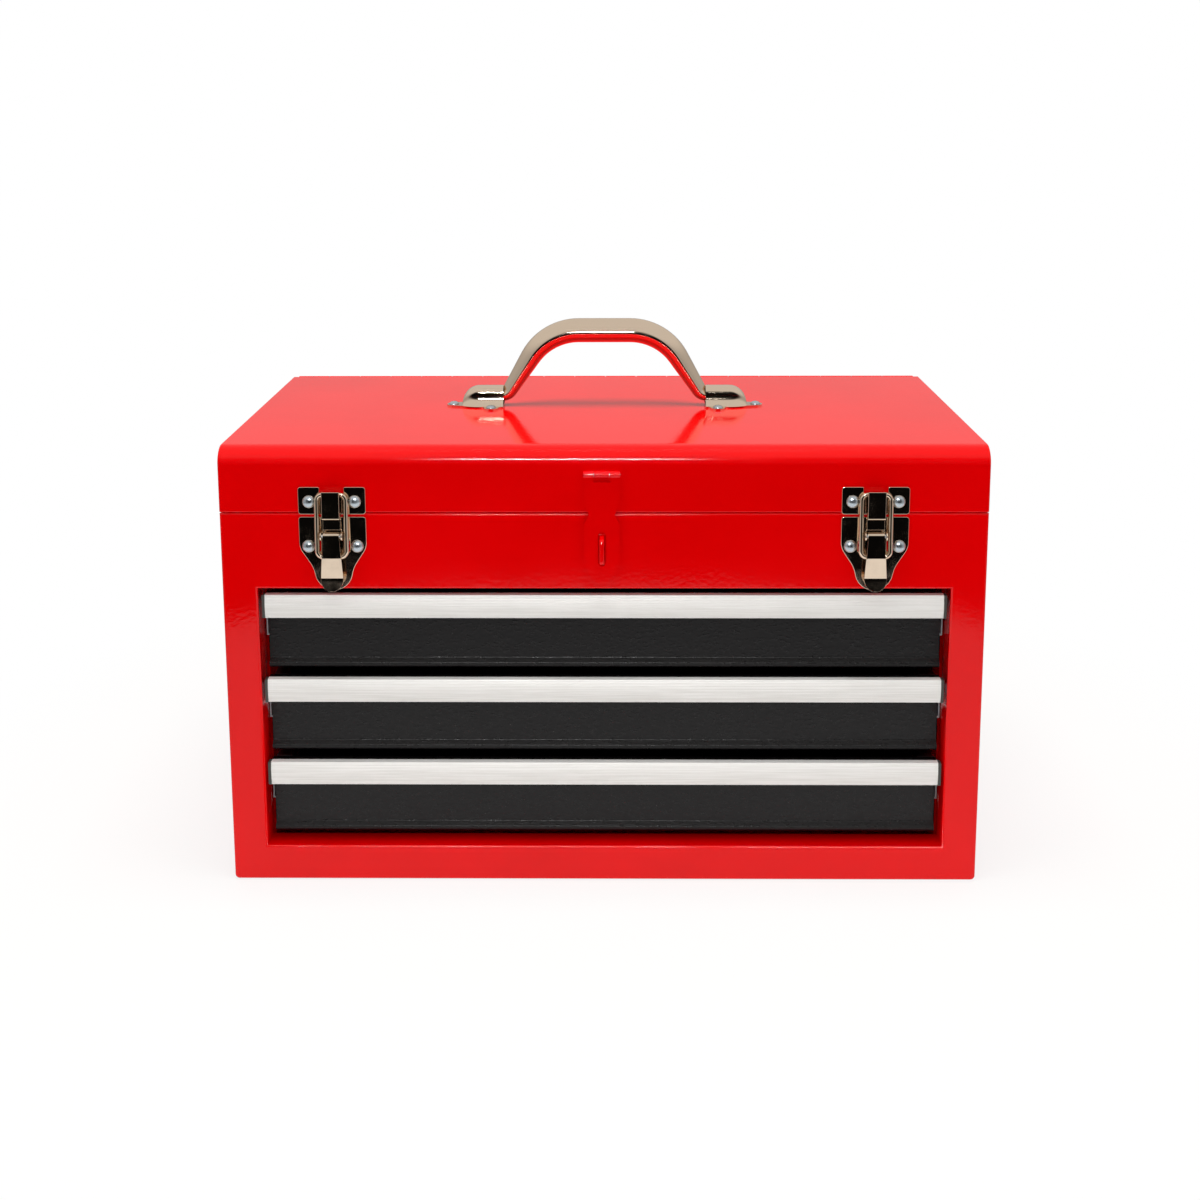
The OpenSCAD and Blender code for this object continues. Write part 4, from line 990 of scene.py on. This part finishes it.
flange_corners = [(78, 19), (88, 19), (78, -19), (88, -19)]
for side, node in ((-1, "handle_bracket_left"), (1, "handle_bracket_right")):
    cup = bmesh.new()
    row = [cup.verts.new((0, 0, k)) for k in range(len(arch))]
    edges = [cup.edges.new(pair) for pair in zip(row, row[1:])]
    set_arch(row, cup_stations[0])
    for station in cup_stations[1:]:
        made = bmesh.ops.extrude_edge_only(cup, edges=edges)["geom"]
        edges = [g for g in made if isinstance(g, bmesh.types.BMEdge)]
        fresh = [g for g in made if isinstance(g, bmesh.types.BMVert)]
        row = [min(fresh, key=lambda n, o=o: (n.co - o.co).length) for o in row]
        edges = [e for e in edges if e.verts[0] in row and e.verts[1] in row]
        set_arch(row, station)
    bmesh.ops.recalc_face_normals(cup, faces=cup.faces)
    crown = max(cup.faces, key=lambda f: f.calc_center_median().z)
    if crown.normal.z < 0:
        bmesh.ops.reverse_faces(cup, faces=cup.faces)
    bmesh.ops.solidify(cup, geom=cup.faces[:], thickness=1.2)
    bm = bmesh.new()
    keep(bm, cup)
    flange = [(MOUTH, -10.9), (77.4, -10.9), (78, -19), (88, -19), (88.6, -10.9), (95, -9.4), (116.5, -4.4),
              (116.5, 4.4), (95, 9.4), (88.6, 10.9), (88, 19), (78, 19), (77.4, 10.9), (MOUTH, 10.9)]
    plate(
        bm,
        [(x, HANDLE_Y + y) for x, y in flange],
        LID_TOP,
        LID_TOP + 1.2,
        2,
        rounds=(
            (4.6, [(x, HANDLE_Y + y) for x, y in flange_corners]),
            (3.9, [(116.5, HANDLE_Y - 4.4), (116.5, HANDLE_Y + 4.4)]),
            (1.6, [(x, HANDLE_Y + y) for x in (77.4, 88.6) for y in (-10.9, 10.9)]),
        ),
    )
    if side < 0:
        bmesh.ops.scale(bm, vec=(-1, 1, 1), verts=bm.verts)
        bmesh.ops.reverse_faces(bm, faces=bm.faces)
    bracket = finish_piece(bm, node + "_pressed", [node], 0.25, 2, corner=40)
print("bracket faces:", len(bracket.data.polygons))

# %% [markdown]
# ## Screws and rivets
# The bracket screws have low round heads. The rivets of the latches have full domes, with a
# hammered tail inside the sheet.

# %% Turned screws and rivets
def dome(radius, height, steps=8):
    """Half the profile of a domed head, from its crown to its rim."""
    return [
        (radius * math.sin(math.pi / 2 * k / steps), height * math.cos(math.pi / 2 * k / steps))
        for k in range(steps + 1)
    ]


bm = bmesh.new()
for side in (-1, 1):
    for x, y in ((111.5, 0.0), (83.0, 13.98), (83.0, -13.98)):
        turned(
            bm,
            [*dome(3.7, 1.9), (2.0, 0.0), (2.0, -4.0), (0.0, -4.0)],
            (side * x, HANDLE_Y + y, LID_TOP + 1.25),
            2,
        )
finish_piece(bm, "bracket_screws_turned", ["bracket_screws"], corner=50)

LATCH_X, PLATE_T = 179.0, 1.2
for node, across, height in (("latch_plate_rivets", 16.1, 237.8), ("keeper_rivets", 15.1, 268.2)):
    bm = bmesh.new()
    for side in (-1, 1):
        for q in (-1, 1):
            turned(
                bm,
                [*dome(4.25, 2.6), (1.9, 0.0), (1.9, -2.4), (3.2, -2.4), (2.6, -3.3), (0.0, -3.4)],
                (side * LATCH_X + q * across, FRONT_Y - PLATE_T, height),
                1,
                28,
            )
    finish_piece(bm, node + "_turned", [node], corner=50)

# %% [markdown]
# ## Latches
# The keeper and the base plate are punched from nickel-plated sheet. Their rounded front
# edges catch the white sweep and draw the pale outlines of the photograph, while their flat
# faces mirror the dark room. The keeper's foot turns up into the tongue that the bail hooks
# behind.

# %% Keepers
KEEPER_Z, KEEPER_TOP, LATCH_W = 259.5, 278.0, 22.3
for side, node in ((-1, "latch_keeper_left"), (1, "latch_keeper_right")):
    bm = bmesh.new()
    middle = side * LATCH_X
    outer = [(q * LATCH_W, z) for q, z in ((-1, KEEPER_Z), (-1, KEEPER_TOP), (1, KEEPER_TOP), (1, KEEPER_Z))]
    notch = [(-8, KEEPER_TOP), (-8, 272.0), (8, 272.0), (8, KEEPER_TOP)]
    outline = outer[:2] + notch + outer[2:]
    plate(
        bm,
        [(middle + x, z) for x, z in outline],
        FRONT_Y,
        FRONT_Y - PLATE_T,
        1,
        rounds=(
            (1.9, [(middle + x, z) for x, z in outer]),
            (1.0, [(middle + x, z) for x, z in notch]),
        ),
    )
    tongue = [(0.2, 261.3), (1.1, 259.6), (6.3, 257.0), (7.1, 257.8), (7.1, 276.0), (5.9, 276.0), (5.9, 258.8)]
    plate(bm, [(FRONT_Y - out, z) for out, z in tongue], middle - 5.9, middle + 5.9, 0)
    keeper = finish_piece(bm, node + "_pressed", [node], 0.38, 3)
print("keeper faces:", len(keeper.data.polygons))

# %% Base plates
PLATE_TOP, PLATE_LOW, PIN_OUT, PIN_Z = 257.8, 207.4, 5.3, 245.8
for side, node in ((-1, "latch_plate_left"), (1, "latch_plate_right")):
    bm = bmesh.new()
    middle = side * LATCH_X
    half_outline = [(22.3, PLATE_TOP), (22.3, 236.6), (13.2, 222.6), (10.6, PLATE_LOW)]
    outline = half_outline + [(-x, z) for x, z in reversed(half_outline)]
    both = lambda x, z: [(middle + x, z), (middle - x, z)]
    plate(
        bm,
        [(middle + x, z) for x, z in outline],
        FRONT_Y,
        FRONT_Y - PLATE_T,
        1,
        rounds=(
            (1.9, both(22.3, PLATE_TOP)),
            (3.2, both(22.3, 236.6)),
            (4.0, both(13.2, 222.6)),
            (10.4, both(10.6, PLATE_LOW)),
        ),
        windows=[(middle + q * 9.5 - 1.7, 234.3, middle + q * 9.5 + 1.7, 241.3) for q in (-1, 1)],
    )
    ear = [(0.6, PIN_Z - 2.9), (PIN_OUT + 2.9, PIN_Z - 2.9), (PIN_OUT + 2.9, PIN_Z + 2.9), (0.6, PIN_Z + 2.9)]
    for x0, x1 in ((-7.5, -6.3), (6.3, 7.5)):
        plate(
            bm,
            [(FRONT_Y - out, z) for out, z in ear],
            middle + x0,
            middle + x1,
            0,
            rounds=((2.8, [(FRONT_Y - out, z) for out, z in ear[1:3]]),),
        )
    stop = [(1.15, 256.8), (1.15, 254.6), (3.2, 249.3), (4.2, 249.6), (3.5, 256.8)]
    plate(bm, [(FRONT_Y - out, z) for out, z in stop], middle - 5.9, middle + 5.9, 0)
    base = finish_piece(bm, node + "_pressed", [node], 0.38, 3)
print("base plate faces:", len(base.data.polygons))

# %% [markdown]
# **Lever.** A strip is rolled round the pivot pin at its top and round the bail below, and
# ends in a lifted finger tip. The lower part leans inwards by 3 degrees, so it mirrors the
# white table, and shows pale between dark neighbours. The strip is a chain of flat parts
# pulled out from one edge, and the rolls are that edge spun round the pins. Then it is
# narrowed to its outline, and the tip is cut round.

# %% Levers
LOOP_Z, BEND_Z, TIP_Z = 231.8, 216.7, 209.4
ROLL_R, LOOP_R, LEVER_T = 2.66, 2.96, 1.3
chain = [(PIN_OUT + ROLL_R, PIN_Z), (PIN_OUT + LOOP_R, LOOP_Z), (7.36, BEND_Z), (10.1, TIP_Z)]


def lever_width(z):
    """Half the width of the lever at a height."""
    if z > 233.8:
        return 5.9 - 0.6 * min(1.0, (z - 233.8) / 16)
    if z > 228.8:
        return 7.0 - 1.1 * (z - 228.8) / 5
    if z > BEND_Z:
        return 7.4 - 0.4 * (z - BEND_Z) / (228.8 - BEND_Z)
    return max(0.9, math.sqrt(7.4**2 - (BEND_Z - z) ** 2))


def rolled(bm, edges, centre, turn, steps):
    """Spins edges round an axis along X through a point given as (out, z)."""
    ends = {v for e in edges for v in e.verts}
    bmesh.ops.spin(
        bm,
        geom=list(ends) + edges,
        cent=(0, FRONT_Y - centre[0], centre[1]),
        axis=(1, 0, 0),
        angle=math.radians(turn),
        steps=steps,
    )


for side, node in ((-1, "latch_lever_left"), (1, "latch_lever_right")):
    bm = bmesh.new()
    line = [bm.verts.new((1.0, FRONT_Y - out, z)) for out, z in chain]
    edges = [bm.edges.new(pair) for pair in zip(line, line[1:])]
    grown = bmesh.ops.extrude_edge_only(bm, edges=edges)["geom"]
    for v in grown:
        if isinstance(v, bmesh.types.BMVert):
            v.co.x = -1.0
    for k in range(1, 7):
        bmesh.ops.bisect_plane(
            bm,
            geom=bm.verts[:] + bm.edges[:] + bm.faces[:],
            dist=0.0001,
            plane_co=(0, 0, BEND_Z - 7.2 * math.sin(math.radians(15 * k))),
            plane_no=(0, 0, 1),
        )
    top = [e for e in bm.edges if all(near(v.co.z, PIN_Z) for v in e.verts)]
    rolled(bm, top, (PIN_OUT, PIN_Z), -235, 14)
    for out, z, radius in ((chain[1][0], LOOP_Z, 0.5), (chain[2][0], BEND_Z, 1.1)):
        round_edges(
            bm,
            lambda a, b: near(a.z, z)
            and near(b.z, z)
            and near(a.y, FRONT_Y - out)
            and near(b.y, FRONT_Y - out),
            radius,
            4,
        )
    loop = [bm.verts.new((x, FRONT_Y - PIN_OUT - LOOP_R, LOOP_Z)) for x in (1.0, -1.0)]
    rolled(bm, [bm.edges.new(loop)], (PIN_OUT, LOOP_Z), -300, 16)
    bmesh.ops.recalc_face_normals(bm, faces=bm.faces)
    for v in bm.verts:
        v.co.x = side * LATCH_X + v.co.x * min(lever_width(v.co.z), 5.5 if v.co.y > FRONT_Y - 7 else 99)
    lever = finish_piece(bm, node + "_rolled", [node], 0.3, 3, sheet=LEVER_T, corner=20)
print("lever faces:", len(lever.data.polygons))

# %% [markdown]
# ## Hasp
# The hasp is painted with the box. Its leaf hangs on the lid, and the slotted strap reaches
# over the staple. Paint softens all its edges.

# %% Hasp leaf and strap
HASP_X, HASP_Z, HASP_OUT = -1.0, 287.0, 2.9


def knuckle(bm, x0, x1):
    """One knuckle of the hasp: a short round bar along X."""
    part = bmesh.new()
    bmesh.ops.create_cone(part, cap_ends=True, segments=24, radius1=2.1, radius2=2.1, depth=x1 - x0)
    bmesh.ops.rotate(part, verts=part.verts, cent=(0, 0, 0), matrix=Matrix.Rotation(math.pi / 2, 3, "Y"))
    bmesh.ops.translate(part, verts=part.verts, vec=((x0 + x1) / 2, FRONT_Y - HASP_OUT, HASP_Z))
    keep(bm, part)


bm = bmesh.new()
leaf = [(HASP_X + x, z) for x, z in ((-11, 266.0), (11, 266.0), (11, 284.0), (-11, 284.0))]
plate(bm, leaf, FRONT_Y, FRONT_Y - 1.0, 1, rounds=((1.5, leaf),))
web = [(0.0, 283.9), (1.0, 283.9), (2.3, 285.5), (1.3, 287.0), (0.0, 287.0)]
plate(bm, [(FRONT_Y - out, z) for out, z in web], HASP_X - 5, HASP_X + 5, 0)
knuckle(bm, HASP_X - 5, HASP_X + 5)
finish_piece(bm, "hasp_leaf_pressed", ["hasp_leaf"], 0.3, 3)

bm = bmesh.new()
half_outline = [
    (5.4, 281.7),
    (5.4, 285.5),
    (12.0, 285.5),
    (12.0, 267.1),
    (9.0, 261.0),
    (9.0, 258.5),
    (12.0, 253.5),
    (12.0, 225.5),
    (4.7, 212.0),
]
outline = half_outline + [(-x, z) for x, z in reversed(half_outline)]
both = lambda x, z: [(HASP_X + x, z), (HASP_X - x, z)]
plate(
    bm,
    [(HASP_X + x, z) for x, z in outline],
    FRONT_Y - 1.5,
    FRONT_Y - 2.9,
    1,
    rounds=(
        (1.4, both(12, 267.1) + both(9, 261) + both(9, 258.5) + both(12, 253.5)),
        (4.0, both(12, 225.5) + both(4.7, 212)),
    ),
    windows=[
        (HASP_X - 2.5, 226.6, HASP_X + 2.5, 246.4),
        (HASP_X - 1.9, 225.2, HASP_X + 1.9, 247.8),
        (HASP_X - 1.1, 224.5, HASP_X + 1.1, 248.5),
    ],
)
for x0, x1 in ((-12, -5.3), (5.3, 12)):
    knuckle(bm, HASP_X + x0, HASP_X + x1)
strap = finish_piece(bm, "hasp_strap_pressed", ["hasp_strap"], 0.32, 3)
print("strap faces:", len(strap.data.polygons))

# %% [markdown]
# ## The rest of the hardware
# The bails, pins, hinge, staple, slides and trays have the right shape in the CAD model. What
# they lack is the small rounding that every pressed or plated edge has. Each is copied and
# merged; all but the bails, lever pins, balls, cages and slide posts are also rounded.

# %% Round the edges of the small hardware
EDGES = {
    0.7: ["hasp_staple"],
    0.25: ["hinge_case_leaf", "hinge_lid_leaf", "bracket_nuts", "back_panel", "tray_floor"],
    0.15: ["hinge_pin", "hasp_pin"],
    0.2: [f"{n}_{i}" for n in ("drawer_tray", "slide_outer", "slide_inner") for i in (1, 2, 3)],
    0.0: [f"{n}_{i}" for n in ("slide_balls", "slide_cage") for i in (1, 2, 3)]
    + ["latch_bail_left", "latch_bail_right", "lever_pin_left", "lever_pin_right", "slide_posts"],
}
for width, names in EDGES.items():
    for name in names:
        softened(name, width, 3 if width > 0.3 else 2)

# %% [markdown]
# ## Colour transform
# The picture is rendered with plain Standard colours.

# %% Set the colour transform
bpy.context.scene.view_settings.view_transform = "Standard"
